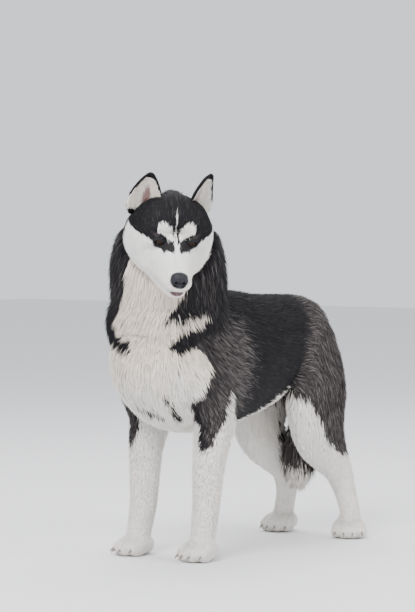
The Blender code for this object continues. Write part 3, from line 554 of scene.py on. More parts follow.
def build_skin():
    """The one skin under the coat: body and head melted, with ears, lids and mouth."""
    skin = melted("husky_skin", body_shapes(), *SKIN_MELT)
    head = melted("head_skin", head_shapes(), *HEAD_MELT)
    for side in (-1, 1):
        lids = as_object("lids", egg((0, 0, 0), (LID_RADIUS - 0.0006,) * 3, rings=40, sides=48))
        lids.data.transform(eye_matrix(side))
        combine(head, lids, "UNION")
    combine(head, as_object("slit", mouth_slit()), "DIFFERENCE")
    for side in (-1, 1):
        socket = as_object("socket", egg((0, 0, 0), (EYE_RADIUS + 0.0002,) * 3, rings=40, sides=48))
        opening = as_object("opening", lid_opening())
        for item in (socket, opening):
            item.data.transform(eye_matrix(side))
            combine(head, item, "DIFFERENCE")
    for shape in EARS.values():
        combine(head, as_object("ear", tube(ear_rings(*shape))), "UNION")
    head.data.transform(HEAD)
    shape = bpy.data.objects.new("head_shape", head.data.copy())
    bpy.context.scene.collection.objects.link(shape)
    combine(skin, head, "UNION")
    flatten_soles(skin)
    skin.data.shade_smooth()
    return skin, shape


def flatten_soles(skin):
    """Set what the remesh leaves under the floor onto it."""
    points = read_points(skin.data)
    points[:, 2] = np.maximum(points[:, 2], 0.0)
    write_points(skin.data, points)


def read_points(mesh):
    """The mesh's vertices as an array."""
    flat = np.empty(len(mesh.vertices) * 3)
    mesh.vertices.foreach_get("co", flat)
    return flat.reshape(-1, 3)


def write_points(mesh, points):
    """Set the mesh's vertices from an array."""
    mesh.vertices.foreach_set("co", np.asarray(points, np.float32).ravel())
    mesh.update()


def read_normals(mesh):
    """The mesh's vertex normals as an array."""
    flat = np.empty(len(mesh.vertices) * 3)
    mesh.vertices.foreach_get("normal", flat)
    return flat.reshape(-1, 3)


def bones():
    """Middle lines of the parts: name, points, the lie of the coat along them, radii and depths."""
    head = np.array(HEAD)
    lines = []

    def add(name, rows, count, lie=1.0, matrix=None):
        track = spline(rows, count)
        points = track[:, :3] if matrix is None else moved(track[:, :3], matrix)
        ways = unit(np.gradient(points, axis=0)) * lie
        radii = (track[:, 3] + track[:, 4:6].mean(1)) / 2 - track[:, 6]
        lines.append((name, points, ways, radii, track[:, 6]))

    add("torso", torso_rows()[1:], 40)
    points, ways = lines[0][1:3]
    along = points[:, 1:2]
    down = np.clip((-0.005 - along) / 0.09, 0, 1) + 0.8 * np.clip((along - 0.36) / 0.09, 0, 1)
    ways[:] = unit(ways * (1 - down) + np.array((0, 0.05, -1.0)) * down)
    add("neck", NECK, 24, -1.0)
    add("tail", TAIL, 24)
    for kind in ("fore", "hind"):
        for side in ("left", "right"):
            add(f"{kind}leg", leg_rows(kind, side), 30)
    add("muzzle", head_rows(MUZZLE)[:6], 16, 1.0, head)
    add("skull", head_rows(SKULL)[1:], 20, 1.0, head)
    for base, tip, _, width in EARS.values():
        steps = np.linspace(0, 1, 12)[:, None]
        track = np.array(base) * (1 - steps) + np.array(tip) * steps
        half = width / 2 * (1 - steps[:, 0])**0.7 + 0.004
        rows = np.column_stack([track, half, half, half, np.full(12, 0.002)])
        add("ear", rows, 12, 1.0, head)
    return lines


BONES = bones()


def along_part(points, on_head):
    """For each point: its part, the lie, the depth, and the tufts' length, width and density.

    Every part counts by exp(-9 * its distance in radii), and the head's parts only on the head.
    """
    found = []
    for name, line, ways, radii, depths in BONES:
        away = np.linalg.norm(points[:, None] - line[None], axis=2) / radii
        best = away.argmin(1)
        share = best / (len(line) - 1)
        coat = [np.interp(share, np.linspace(0, 1, len(values)), values) for values in COAT[name]]
        found.append((away.min(1), ways[best], depths[best], *coat))
    ratio = np.array([f[0] for f in found])
    of_head = np.isin([bone[0] for bone in BONES], ("muzzle", "skull", "ear"))[:, None]
    ratio = ratio + 3.0 * np.where(of_head, 1 - on_head, on_head)
    weight = np.exp(-9 * (ratio - ratio.min(0)))
    weight /= weight.sum(0)
    lie = sum(w[:, None] * f[1] for w, f in zip(weight, found))
    part = {"owner": ratio.argmin(0), "lie": lie}
    for k, label in ((2, "depth"), (3, "length"), (4, "width"), (5, "density")):
        part[label] = sum(w * f[k] for w, f in zip(weight, found))
    return part


MASK_NAMES = ("dark", "brown", "grizzle_and_sheen", "cream", "pink", "bare")

# Outlines of the face's markings in the head's frame: distance from the midline, height
BROW_SPOT = (
    (0.0385, 0.019), (0.0375, 0.034), (0.031, 0.0405), (0.023, 0.041), (0.014, 0.037),
    (0.009, 0.029), (0.0062, 0.019), (0.0035, 0.010), (0.009, 0.0066), (0.016, 0.0085),
    (0.0225, 0.0125), (0.031, 0.0175))
EYE_SHADE = (
    (0.051, 0.010), (0.044, 0.0030), (0.037, -0.0048), (0.028, -0.0050), (0.0215, -0.0035),
    (0.0250, 0.0040), (0.030, 0.0120), (0.037, 0.0155), (0.044, 0.0165))
INNER_SHADE = (
    (0.026, 0.000), (0.0165, 0.0035), (0.0115, 0.0060), (0.0050, 0.0030), (0.0042, -0.0040),
    (0.0088, -0.0110), (0.0125, -0.0075), (0.019, -0.0085), (0.0265, -0.0130), (0.0290, -0.0060))
MOUTH_SHADE = (
    (0.0140, -0.0735), (0.007, -0.0690), (0.0, -0.0680), (0.0, -0.0825), (0.008, -0.0805),
    (0.012, -0.0775))
CAP_EDGE = (
    (0.0, 0.002), (0.010, 0.003), (0.030, 0.013), (0.040, 0.0135), (0.050, 0.0080),
    (0.056, 0.0035), (0.061, 0.0095), (0.070, 0.0080), (0.080, 0.0085), (0.095, 0.0000))
# Outline of the white front: degrees round the neck from straight ahead to the left, height
WHITE_FRONT = (
    (118, 0.700), (105, 0.651), (91, 0.625), (81, 0.605), (73, 0.592), (66, 0.574), (54, 0.550),
    (43, 0.527), (36, 0.502), (43, 0.493), (54, 0.501), (69, 0.518), (80, 0.517), (70, 0.502),
    (56, 0.487), (42, 0.473), (33, 0.458), (30, 0.435), (38, 0.428), (49, 0.438), (58, 0.430),
    (61, 0.408), (60, 0.379), (55, 0.353), (46, 0.330), (46, 0.200), (-60, 0.200), (-56, 0.340),
    (-62, 0.380), (-62, 0.420), (-44, 0.447), (-30, 0.450), (-20, 0.440), (-8, 0.431), (3, 0.433),
    (0, 0.443), (-12, 0.457), (-20, 0.470), (-26, 0.486), (-28, 0.505), (-24, 0.530), (-20, 0.552),
    (-19, 0.570), (-17, 0.590), (-23, 0.610), (-28, 0.636), (-34, 0.670), (-38, 0.720))
# Outlines of the dark patch on each fore leg: degrees from ahead towards its outer side, height
FORELEG_PATCH = {
    "left": (
        (-8, 0.338), (-12, 0.305), (-12, 0.248), (4, 0.218), (26, 0.226), (50, 0.248), (72, 0.280),
        (90, 0.315), (96, 0.365), (60, 0.360), (20, 0.345)),
    "right": (
        (-6, 0.338), (-12, 0.300), (-4, 0.252), (20, 0.220), (60, 0.242), (95, 0.310), (100, 0.365)),
}
FRONT_ARC = 0.0021     # metres of coat for a degree round the neck
LEG_ARC = 0.0009       # and round a fore leg
# Where the dark flank ends below, height by y, and where the thigh's brown begins, y by height
BELLY_EDGE = (
    (-0.06, 0.345), (0.03, 0.300), (0.120, 0.285), (0.173, 0.302), (0.226, 0.321), (0.256, 0.342),
    (0.284, 0.350), (0.292, 0.358), (0.300, 0.333), (0.304, 0.320), (0.325, 0.305), (0.344, 0.279),
    (0.371, 0.237), (0.410, 0.205), (0.450, 0.185))
THIGH_EDGE = ((0.36, 0.305), (0.43, 0.322), (0.536, 0.372))
# Thin dark marks on the lower chest: from x, z to x, z, and half their width
CHEST_MARKS = (
    ((-0.008, 0.330), (0.025, 0.307), 0.0035),
    ((0.051, 0.351), (0.050, 0.323), 0.0045),
    ((0.050, 0.323), (0.036, 0.286), 0.0050))


def read_line(line, values):
    """The heights of a table of pairs at those values."""
    return np.interp(values, *np.array(line).T)


def patch(u, v, outline, width):
    """1 inside a closed outline and 0 outside it, by the signed distance to its nearest side."""
    corners = np.array(outline, float)
    away = np.full(len(u), 1e9)
    inside = np.zeros(len(u), bool)
    for (x0, y0), (x1, y1) in zip(corners, np.roll(corners, -1, axis=0)):
        dx, dy = x1 - x0, y1 - y0
        t = np.clip(((u - x0) * dx + (v - y0) * dy) / (dx * dx + dy * dy + 1e-12), 0, 1)
        away = np.minimum(away, np.hypot(u - x0 - t * dx, v - y0 - t * dy))
        crossed = (y0 > v) != (y1 > v)
        inside ^= crossed & (u < x0 + dx * (v - y0) / (dy if dy else 1e-12))
    return soft(np.where(inside, away, -away), 0.0, width)


def band(values, low, high, width):
    """1 between two values."""
    return soft(values, low, width) * (1 - soft(values, high, width))


def oval(u, v, centre, radii, turn, width):
    """1 inside a turned oval in the plane of u and v, with a soft edge."""
    c, s = np.cos(np.radians(turn)), np.sin(np.radians(turn))
    a, b = u - centre[0], v - centre[1]
    along, across = (a * c + b * s) / radii[0], (-a * s + b * c) / radii[1]
    return 1 - soft(np.sqrt(along**2 + across**2), 1.0, width)


def streak(points, start, end, radius):
    """1 near the straight line between two points, in the plane or in space."""
    start, end = np.array(start), np.array(end)
    way = end - start
    t = np.clip((points - start) @ way / (way @ way), 0, 1)
    away = np.linalg.norm(points - start - t[:, None] * way, axis=1)
    return 1 - soft(away, radius, radius)


def marking_masks(points, normals, on_head):
    """How dark, brown, grizzled, creamy, pink and bare the coat is at each point, from 0 to 1; the
    grizzle carries a little painted sheen on the black coat.
    """
    warp = np.stack([noise(points, 0.016, k) for k in (1, 2, 3)], 1)
    warp += np.stack([noise(points, 0.006, k) for k in (4, 5, 6)], 1) * 0.6
    body = body_masks(points + warp * 0.0048, normals)
    turned = normals @ np.array(HEAD_BACK.to_3x3()).T
    head = head_masks(moved(points + warp * 0.0011, HEAD_BACK), turned)
    return {key: body[key] * (1 - on_head) + head[key] * on_head for key in body}


def head_masks(h, normals):
    """The markings of the face: black cap, brow spots, forehead stripe, eye rims, lips, ears."""
    x, y, z = h.T
    side = np.abs(x)
    back = soft(-y, 0.078, 0.016) * soft(-y - 0.25 * z, 0.070, 0.016)
    dark = soft(z, read_line(CAP_EDGE, side) - 0.10 * back, 0.0035 + 0.01 * back)
    ahead = soft(y, -0.020, 0.020)
    spots = patch(side, z, BROW_SPOT, 0.0030) * ahead
    wide = 0.0013 + 0.0017 * soft(-z, -0.016, 0.02)
    stripe = (1 - soft(np.abs(x - 0.001), wide, 0.0014)) * band(z, -0.02, 0.064, 0.006) * ahead
    dark *= 1 - spots
    dark *= 1 - 0.74 * stripe
    inner = patch(side, z, INNER_SHADE, 0.0030) * 0.86
    eye = patch(side, z, EYE_SHADE, 0.0024)
    under = oval(side, z, (0.0365, -0.0100), (0.0110, 0.0040), 12, 0.9) * 0.26
    brow_skin = oval(side, z, (0.0400, 0.0165), (0.0085, 0.0018), 8, 0.8)
    dark = np.maximum.reduce([dark, inner, eye, under])
    brown = np.maximum.reduce([inner * 0.40, under, brow_skin, 0 * x])
    rim, ring = np.zeros((2, len(h)))
    for way in (-1, 1):
        q = moved(h, eye_matrix(way).inverted())
        reach = np.sqrt((q[:, 0] / LID_OPENING[0])**2 + (q[:, 2] / LID_OPENING[1])**2)
        rim = np.maximum(rim, (1 - soft(reach, 1.38, 0.25)) * soft(q[:, 1], 0.0, 0.004))
        ring = np.maximum(ring, 1 - soft(reach * np.where(q[:, 2] < 0, 1.45, 1.0), 2.00, 0.40))
    dark = np.maximum.reduce([dark, rim, ring * ahead])
    bridge = 1 - soft(np.abs(x - 0.004), 0.004, 0.005)
    bridge = bridge * band(y, 0.040, 0.080, 0.012) * soft(z, -0.032, 0.01)
    dark = np.maximum(dark, bridge * 0.20)
    line = np.abs(z - MOUTH_HEIGHT + MOUTH_DROOP * side)
    lips = (1 - soft(line, 0.0018, 0.0014)) * soft(y, 0.026, 0.010)
    lips = np.maximum(lips, patch(side, z, MOUTH_SHADE, 0.0024) * soft(y, 0.055, 0.010))
    from_nose = np.linalg.norm((h - NOSE_AT) / np.array((0.0185, 0.016, 0.0165)), axis=1)
    near_nose = 1 - soft(from_nose, 1.00, 0.10)
    ear, inside, pink = ear_masks(h, normals)
    dark = dark * (1 - ear) + (1 - inside) * ear
    brown = brown * (1 - ear)
    cream = np.clip(0.08 + soft(-z, 0.05, 0.03) * 0.14 + inside * 0.45, 0, 1)
    bare = np.maximum.reduce([lips, near_nose, rim])
    grizzle_and_sheen = 0.10 * dark * soft(z, 0.012, 0.02) * (1 - ear)
    return dict(zip(MASK_NAMES, (dark, brown, grizzle_and_sheen, cream, pink * ear, bare)))


def ear_masks(h, normals):
    """Which points are on an ear, which of them are white inside, and which dark pink in the cup."""
    on_ear, inside, pink = (np.zeros(len(h)) for _ in range(3))
    for name, (base, tip, opening, width) in EARS.items():
        base, tip = np.array(base), np.array(tip)
        along = unit(tip - base)
        across = unit(np.cross(along, np.array(opening)))
        out = np.cross(across, along)
        t = (h - base) @ along / np.linalg.norm(tip - base)
        rise = np.clip(t, 0, 0.98)
        half = width / 2 * (1 - rise)**0.7 * (1 - 0.14 * (1 - rise)**4) + 0.0004
        s = (h - base) @ across / half
        cup = EAR_CUP * (1 - 0.75 * rise) * np.minimum(1.0, half / 0.012)
        off = (h - base) @ out + 0.004 * np.sin(np.pi * rise) + cup * (1 - s**2)
        low = t < 0.14
        mine = (np.abs(off) < 0.0065 + 0.005 * low) & (np.abs(s) < 1.12 + 0.2 * low)
        mine &= (t > -0.12) & (t < 1.06)
        mine &= np.abs(normals @ along) < 0.62
        faces = soft(normals @ out, 0.05, 0.4)
        crown_side = s * np.sign(across[0]) * np.sign(base[0]) < 0
        thick = 0.90 if name == "right" else 0.72
        start = np.where(crown_side, thick, 0.82) + 0.14 * (1 - rise)**2 + 0.22 * (1 - rise)**8
        rim = np.maximum(soft(np.abs(s), start, 0.08), soft(t, 0.84, 0.05))
        on_ear = np.where(mine, 1.0, on_ear)
        inside = np.where(mine, faces * (1 - rim), inside)
        depth = 0.55 if name == "left" else 1.0
        hollow = oval(s, t, (-0.02, 0.26), (0.30, 0.24), 90, 0.8) * depth
        pink = np.where(mine, faces * hollow, pink)
    return on_ear, inside, pink


def round_neck(p):
    """Degrees round the neck's middle line, from straight ahead towards the dog's left."""
    rows = np.array(NECK)
    middle_x, middle_y = (np.interp(p[:, 2], rows[:, 2], rows[:, k]) for k in (0, 1))
    return np.degrees(np.arctan2(p[:, 0] - middle_x, middle_y - p[:, 1]))


def foreleg_patches(p):
    """1 on the dark patches down the outer front of the fore legs."""
    found = np.zeros(len(p))
    for side, way in (("left", 1), ("right", -1)):
        rows = leg_rows("fore", side)[::-1]
        middle_x, middle_y = (np.interp(p[:, 2], rows[:, 2], rows[:, k]) for k in (0, 1))
        angle = np.degrees(np.arctan2((p[:, 0] - middle_x) * way, middle_y - p[:, 1]))
        outline = [(a * LEG_ARC, z) for a, z in FORELEG_PATCH[side]]
        mask = patch(angle * LEG_ARC, p[:, 2], outline, 0.022)
        mask = mask * (p[:, 0] * way > 0.03) * (p[:, 1] < 0.07)
        found = np.maximum(found, mask)
    return found


def body_masks(p, normals):
    """The coat behind the face: black nape and saddle with a little painted sheen, grizzled shoulder and
    thigh, white front.
    """
    x, y, z = p.T
    side = np.abs(x)
    dark = soft(z, read_line(BELLY_EDGE, y) - 0.002, 0.022)
    outward = soft(normals[:, 0] * np.sign(x), -0.10, 0.35)
    dark *= 1 - (1 - outward) * (1 - soft(z, 0.300, 0.08))
    outline = [(a * FRONT_ARC, h) for a, h in WHITE_FRONT]
    front = patch(round_neck(p) * FRONT_ARC, z, outline, 0.006) * (1 - soft(y, 0.045, 0.02))
    dark *= 1 - front
    dark = np.maximum(dark, foreleg_patches(p))
    elbow = oval(y, z, (0.024, 0.312), (0.013, 0.038), -8, 0.7) * soft(side, 0.07, 0.02)
    dark *= 1 - 0.70 * elbow
    on_chest = 1 - soft(y, -0.045, 0.02)
    for start, end, radius in CHEST_MARKS:
        dark = np.maximum(dark, streak(p[:, [0, 2]], start, end, radius) * on_chest * 0.75)
    is_tail = soft(y, 0.395, 0.02) * (1 - soft(side, 0.045, 0.008)) * (1 - soft(z, 0.29, 0.04))
    is_tail = np.maximum(is_tail, soft(y, 0.462, 0.02) * (1 - soft(side, 0.07, 0.01)))
    tip = 1 - soft(z, 0.150, 0.04)
    rows = np.array(TAIL)[::-1]
    under = 1 - soft(y, np.interp(z, rows[:, 2], rows[:, 1]), 0.02)
    middle = (1 - soft(np.abs(x + 0.004), 0.014, 0.02)) * (1 - soft(z, 0.36, 0.10)) * under
    dark = dark * (1 - is_tail) + (1 - np.maximum(0.9 * tip, 0.16 * middle)) * is_tail
    shoulder = band(y + 0.03 * (z - 0.4), 0.000, 0.108, 0.090)
    shoulder = shoulder * soft(side, 0.05, 0.04) * (1 - soft(z, 0.490, 0.12))
    upper_arm = band(y, -0.070, 0.010, 0.03) * soft(side, 0.09, 0.02) * (1 - soft(z, 0.47, 0.06))
    thigh = soft(y, read_line(THIGH_EDGE, z), 0.040)
    ruff = soft(z, 0.51, 0.06) * (1 - soft(y, -0.02, 0.06)) * (1 - soft(z, 0.70, 0.05))
    # Grizzled shoulder, arm, thigh and ruff; the 0.05 floor gives pale tips to a few tufts over all the
    # dark coat as painted sheen
    grizzle_and_sheen = np.clip(0.05 + shoulder * 0.60 + upper_arm * 0.22 + thigh * 0.36 + ruff * 0.16, 0, 1)
    grizzle_and_sheen = np.maximum(grizzle_and_sheen, 0.55 * middle * is_tail)
    brown = np.clip(thigh * 0.85 + shoulder * 0.45 + upper_arm * 0.50 + ruff * 0.20, 0, 1)
    brown = brown * (1 - is_tail) + (0.15 + 0.85 * middle * (1 - tip)) * is_tail
    cream = np.clip(0.32 + 0.66 * front * soft(z, 0.39, 0.12), 0, 1)
    none = np.zeros(len(p))
    return dict(zip(MASK_NAMES, (dark, brown, grizzle_and_sheen * dark, cream, none, none)))


def coat_colours(points, normals, on_head, chance):
    """Root, middle and tip colours of tufts that grow from those points."""
    masks = marking_masks(points, normals, on_head)
    dark, brown, grizzle_and_sheen, cream, pink, bare = (masks[name] for name in MASK_NAMES)
    light = mix(WHITE, CREAM, np.clip(cream + noise(points, 0.05, 9) * 0.15, 0, 1))
    deep = mix(BLACK, BROWN, np.clip(brown + noise(points, 0.03, 10) * 0.25 * brown, 0, 1))
    picked = soft(dark, chance.uniform(0.18, 0.82, len(points)), 0.25)
    shade = mix(light, deep, picked)
    shade = mix(shade, EAR_PINK, pink * 0.8)
    shade = mix(shade, RIM, bare * 0.9)
    wild = chance.uniform(-1, 1, len(points)) * (0.04 + 0.22 * picked)
    shade = shade * (1 + wild + noise(points, 0.02, 11) * 0.03)[:, None]
    # Pale tips where the coat is grizzled, and on a few tufts of the black coat as painted sheen
    pale = (chance.uniform(0, 1, len(points)) < grizzle_and_sheen)
    pale = pale * chance.uniform(0.10, 0.66, len(points)) * np.clip(3.2 * grizzle_and_sheen, 0.22, 1)
    # Painted shade and light along each tuft: the root at 0.8 of the colour on pale coat and a little
    # darker and bluer on dark coat, the tip 4 hundredths brighter
    root = shade * mix(np.array((0.80, 0.80, 0.80)), np.array((0.95, 0.95, 1.05)), picked)
    middle = mix(shade, PALE_TIP, pale * 0.55)
    tip = mix(shade * 1.04, PALE_TIP, pale * 0.9)
    return root, middle, tip


def skin_colours(points, normals, on_head):
    """The markings on the skin, darker than on the coat by painted shade under the coat, with dark lids
    and lips.
    """
    masks = marking_masks(points, normals, on_head)
    light = mix(WHITE, CREAM, masks["cream"])
    deep = mix(BLACK, BROWN, masks["brown"])
    # Eight tenths of the coat's colour: painted shade under the coat
    shade = mix(light, deep, masks["dark"]) * 0.8
    shade = mix(shade, EAR_PINK, masks["pink"])
    h = moved(points, HEAD_BACK)
    lips = soft(h[:, 1], 0.02, 0.01) * soft(-h[:, 2], 0.066, 0.003)
    return mix(shade, mix(RIM, LIP, lips), masks["bare"])


def head_share(points, head):
    """1 where a point lies on the head's own surface, 0 from 4 mm off it."""
    near, _ = on_skin(points, head)
    return 1 - soft(np.linalg.norm(points - near, axis=1), 0.0025, 0.0030)


def scatter(skin, head, chance):
    """Roots of the tufts: spread over the skin's triangles by area and wished density."""
    mesh = skin.data
    mesh.calc_loop_triangles()
    corners = np.empty(len(mesh.loop_triangles) * 3, np.int64)
    mesh.loop_triangles.foreach_get("vertices", corners)
    corners = corners.reshape(-1, 3)
    points, normals = read_points(mesh), read_normals(mesh)
    a, b, c = (points[corners[:, k]] for k in range(3))
    area = np.linalg.norm(np.cross(b - a, c - a), axis=1) / 2
    centre = (a + b + c) / 3
    density = along_part(centre, head_share(centre, head))["density"]
    wish = density * 1e4 * area * wanted(centre, normals[corners].mean(1))
    total = np.cumsum(wish)
    count = int(total[-1])
    place = (np.arange(count) + chance.uniform(0, 1, count)) / count * total[-1]
    chosen = np.searchsorted(total, place)
    u, v = chance.uniform(0, 1, (2, count))
    flip = u + v > 1
    u, v = np.where(flip, 1 - u, u)[:, None], np.where(flip, 1 - v, v)[:, None]
    i, j, k = corners[chosen].T
    roots = points[i] * (1 - u - v) + points[j] * u + points[k] * v
    ups = unit(normals[i] * (1 - u - v) + normals[j] * u + normals[k] * v)
    return roots, ups


def wanted(points, normals):
    """Where hair grows: not in the eyes, on the lips, under the nose leather, inside the mouth
    or on the soles."""
    h = moved(points, HEAD_BACK)
    keep = np.ones(len(points))
    for eye in (-1, 1):
        q = moved(h, eye_matrix(eye).inverted())
        half, up = LID_OPENING[0] + 0.0022, LID_OPENING[1] + 0.0020
        reach = np.sqrt((q[:, 0] / half)**2 + (q[:, 2] / up)**2)
        keep *= 1 - (reach < 1.0) * (np.abs(q[:, 1]) < 0.03)
    line = np.abs(h[:, 2] - MOUTH_HEIGHT + MOUTH_DROOP * np.abs(h[:, 0]))
    keep *= 1 - (line < 0.0024) * (h[:, 1] > 0.030)
    keep *= 1 - (patch(np.abs(h[:, 0]), h[:, 2], MOUTH_SHADE, 0.001) > 0.5) * (h[:, 1] > 0.055)
    keep *= 1 - (np.linalg.norm((h - NOSE_AT) / np.array((0.0185, 0.017, 0.0165)), axis=1) < 1.0)
    keep *= 1 - (points[:, 2] < 0.006) * (normals[:, 2] < 0.3)
    return keep


def on_skin(points, skin):
    """The nearest points of the skin, and its normals there."""
    found = []
    for mode, offset in (("ON_SURFACE", 0.0), ("ABOVE_SURFACE", 0.002)):
        mesh = bpy.data.meshes.new("probe")
        mesh.vertices.add(len(points))
        write_points(mesh, points)
        probe = bpy.data.objects.new("probe", mesh)
        bpy.context.scene.collection.objects.link(probe)
        wrap = probe.modifiers.new("wrap", "SHRINKWRAP")
        wrap.target = skin
        wrap.wrap_method = "NEAREST_SURFACEPOINT"
        wrap.wrap_mode = mode
        wrap.offset = offset
        settle(probe)
        found.append(read_points(probe.data))
        bpy.data.objects.remove(probe, do_unlink=True)
    return found[0], unit(found[1] - found[0])


def tangent(ways, ups):
    """The part of the ways that lies in the skin, of length one."""
    return unit(ways - ups * (ways * ups).sum(1, keepdims=True))


def lay_coat(skin, head, chance):
    """Every tuft's root, middle and tip with their ups and sides, and its sizes and colours.

    Its colours are those of the markings where its outer half lies, for that is what shows.

    A tuft leaves the skin at its root, follows the lie of the coat over 45 and 100 hundredths
    of its length, and rises to a share of the coat's depth at each.
    """
    roots, ups = scatter(skin, head, chance)
    on_head = head_share(roots, head)
    part = along_part(roots, on_head)
    count = len(roots)
    lie = part["lie"] + np.array((0, 0, -1.0)) * (0.34 - 0.24 * on_head)[:, None]
    flow = np.stack([noise(roots, 0.035, k) for k in (20, 21, 22)], 1) * 0.26
    flow += np.stack([noise(roots, 0.013, k) for k in (24, 25, 26)], 1) * 0.26
    flow += chance.normal(0, 0.11, (count, 3))
    lie = tangent(lie + flow * (1 - 0.5 * on_head)[:, None], ups)
    clump = 1 + 0.16 * noise(roots, 0.012, 23)
    length = part["length"] * chance.uniform(0.78, 1.15, count) * clump
    width = part["width"] * chance.uniform(0.80, 1.20, count)
    h = moved(roots, HEAD_BACK)
    crown = on_head * soft(h[:, 2], 0.045, 0.02) * (1 - soft(h[:, 1], 0.0, 0.05))
    crown = crown * (1 - soft(np.abs(h[:, 0]), 0.045, 0.02))
    crown *= np.array([bone[0] != "ear" for bone in BONES])[part["owner"]]
    length = length * (1 + 0.5 * crown)
    rise = (part["depth"] + 0.0055 * crown) * chance.uniform(0.62, 1.12, count)
    rise = np.minimum(rise, 0.55 * length)
    shift = roots + lie * (0.45 * length)[:, None]
    middles, middle_ups = on_skin(shift, skin)
    lie_middle = tangent(lie + np.array((0, 0, -0.10)), middle_ups)
    ends, end_ups = on_skin(middles + lie_middle * (0.55 * length)[:, None], skin)
    lifted = middles + middle_ups * (0.62 * rise)[:, None]
    stations = (roots - ups * SINK, lifted, ends + end_ups * rise[:, None])
    for place in stations:
        place[:, 2] = np.maximum(place[:, 2], LOWEST)
    seen = middles + (ends - middles) * SEEN
    colours = coat_colours(seen, middle_ups, head_share(seen, head), chance)
    return {
        "owner": part["owner"], "roots": roots, "stations": stations, "ups": (ups, middle_ups, end_ups),
        "lies": (lie, lie_middle), "width": width, "colours": colours,
    }


def tuft_mesh(name, coat, chosen):
    """The chosen tufts as one mesh: each has a triangle at its root, one at its middle, and a tip."""
    width = coat["width"][chosen][:, None]
    rings, shades = [], []
    ways = []
    for k, (broad, thick) in enumerate(((0.62, 0.30), (1.0, 0.34))):
        at, up = coat["stations"][k][chosen], coat["ups"][k][chosen]
        side = unit(np.cross(up, coat["lies"][k][chosen]))
        rings += [at - side * width * broad / 2 - up * width * thick / 2,
                  at + side * width * broad / 2 - up * width * thick / 2,
                  at + up * width * thick / 2]
        ways += [up * 0.85 - side * 0.55, up * 0.85 + side * 0.55, up]
        shades += [coat["colours"][k][chosen]] * 3
    rings.append(coat["stations"][2][chosen])
    ways.append(coat["ups"][2][chosen])
    shades.append(coat["colours"][2][chosen])
    points = np.stack(rings, 1).reshape(-1, 3)
    count = len(chosen)
    first = np.arange(count)[:, None, None] * 7
    quads = (first + np.array([(0, 1, 4, 3), (1, 2, 5, 4), (2, 0, 3, 5)])).reshape(-1, 4)
    tips = (first + np.array([(3, 4, 6), (4, 5, 6), (5, 3, 6), (2, 1, 0)])).reshape(-1, 3)
    mesh = bpy.data.meshes.new(name)
    mesh.vertices.add(len(points))
    mesh.loops.add(quads.size + tips.size)
    mesh.polygons.add(len(quads) + len(tips))
    mesh.vertices.foreach_set("co", points.astype(np.float32).ravel())
    loops = np.concatenate([quads.ravel(), tips.ravel()]).astype(np.int32)
    mesh.loops.foreach_set("vertex_index", loops)
    starts = np.concatenate([np.arange(len(quads)) * 4, len(quads) * 4 + np.arange(len(tips)) * 3])
    mesh.polygons.foreach_set("loop_start", starts.astype(np.int32))
    mesh.update(calc_edges=True)
    mesh.validate()
    paint(mesh, np.stack(shades, 1).reshape(-1, 3))
    map_tufts(mesh, coat, chosen, loops)
    mesh.shade_smooth()
    normals = unit(np.stack(ways, 1).reshape(-1, 3))
    mesh.normals_split_custom_set_from_vertices(normals.tolist())
    return mesh


def map_tufts(mesh, coat, chosen, loops):
    """The bake map: each tuft is a small patch at its root's place on the unwrapped part.

    The place is the share along the part's middle line and the angle round it.
    """
    roots, owner = coat["roots"][chosen], coat["owner"][chosen]
    place = np.zeros((len(chosen), 2))
    kinds = np.unique(owner)
    for slot, k in enumerate(kinds):
        mine = owner == k
        line, ways = BONES[k][1:3]
        away = np.linalg.norm(roots[mine][:, None] - line[None], axis=2)
        best = away.argmin(1)
        along = ways[best]
        fine = ((roots[mine] - line[best]) * along).sum(1)
        step = np.linalg.norm(line[1] - line[0])
        forward = np.sign(along[0] @ (line[1] - line[0]))
        share = (best + np.clip(fine / step, -0.5, 0.5) * forward) / len(line)
        side = unit(np.cross(along, np.array((0.3, 0.2, 0.9))))
        other = np.cross(along, side)
        rel = roots[mine] - line[best]
        turn = np.arctan2((rel * side).sum(1), (rel * other).sum(1)) / (2 * np.pi) + 0.5
        place[mine, 0] = (slot + 0.04 + 0.92 * turn) / len(kinds)
        place[mine, 1] = 0.03 + 0.92 * np.clip(share, 0, 1)
    local = np.array([(0, 0), (0.5, 0), (1, 0), (0, 0.5), (0.5, 0.5), (1, 0.5), (0.5, 1)]) * PATCH
    corner = (place[:, None] + local[None]).reshape(-1, 2)
    layer = mesh.uv_layers.new(name="OFBake")
    layer.data.foreach_set("uv", corner[loops].astype(np.float32).ravel())


def paint(mesh, colours):
    """Store a colour for every vertex."""
    layer = mesh.color_attributes.new("coat_colour", "FLOAT_COLOR", "POINT")
    filled = np.ones((len(colours), 4), np.float32)
    filled[:, :3] = np.clip(colours, 0, 1)
    layer.data.foreach_set("color", filled.ravel())


def coat_pieces(coat):
    """The tufts of each piece of the coat, few enough in each to keep its mesh whole."""
    owner, roots = coat["owner"], coat["roots"]
    names = np.array([bone[0] for bone in BONES])[owner]
    left = roots[:, 0] > 0
    head_left = moved(roots, HEAD_BACK)[:, 0] < 0
    ahead = roots[:, 1] < CHEST_BACK
    behind = roots[:, 1] > RUMP_FRONT
    torso = names == "torso"

    def both(name, mask, on_left):
        return {f"{name}_coat_left": mask & on_left, f"{name}_coat_right": mask & ~on_left}

    groups = {
        "face_coat": names == "muzzle",
        **both("head", names == "skull", head_left),
        "ear_coat": names == "ear",
        **both("neck", names == "neck", head_left),
        "chest_coat": torso & ahead,
        **both("flank", torso & ~ahead & ~behind, left),
        "rump_coat": torso & behind,
        **both("foreleg", names == "foreleg", left),
        **both("hindleg", names == "hindleg", left),
        "tail_coat": names == "tail",
    }
    return {name: np.flatnonzero(mask) for name, mask in groups.items()}


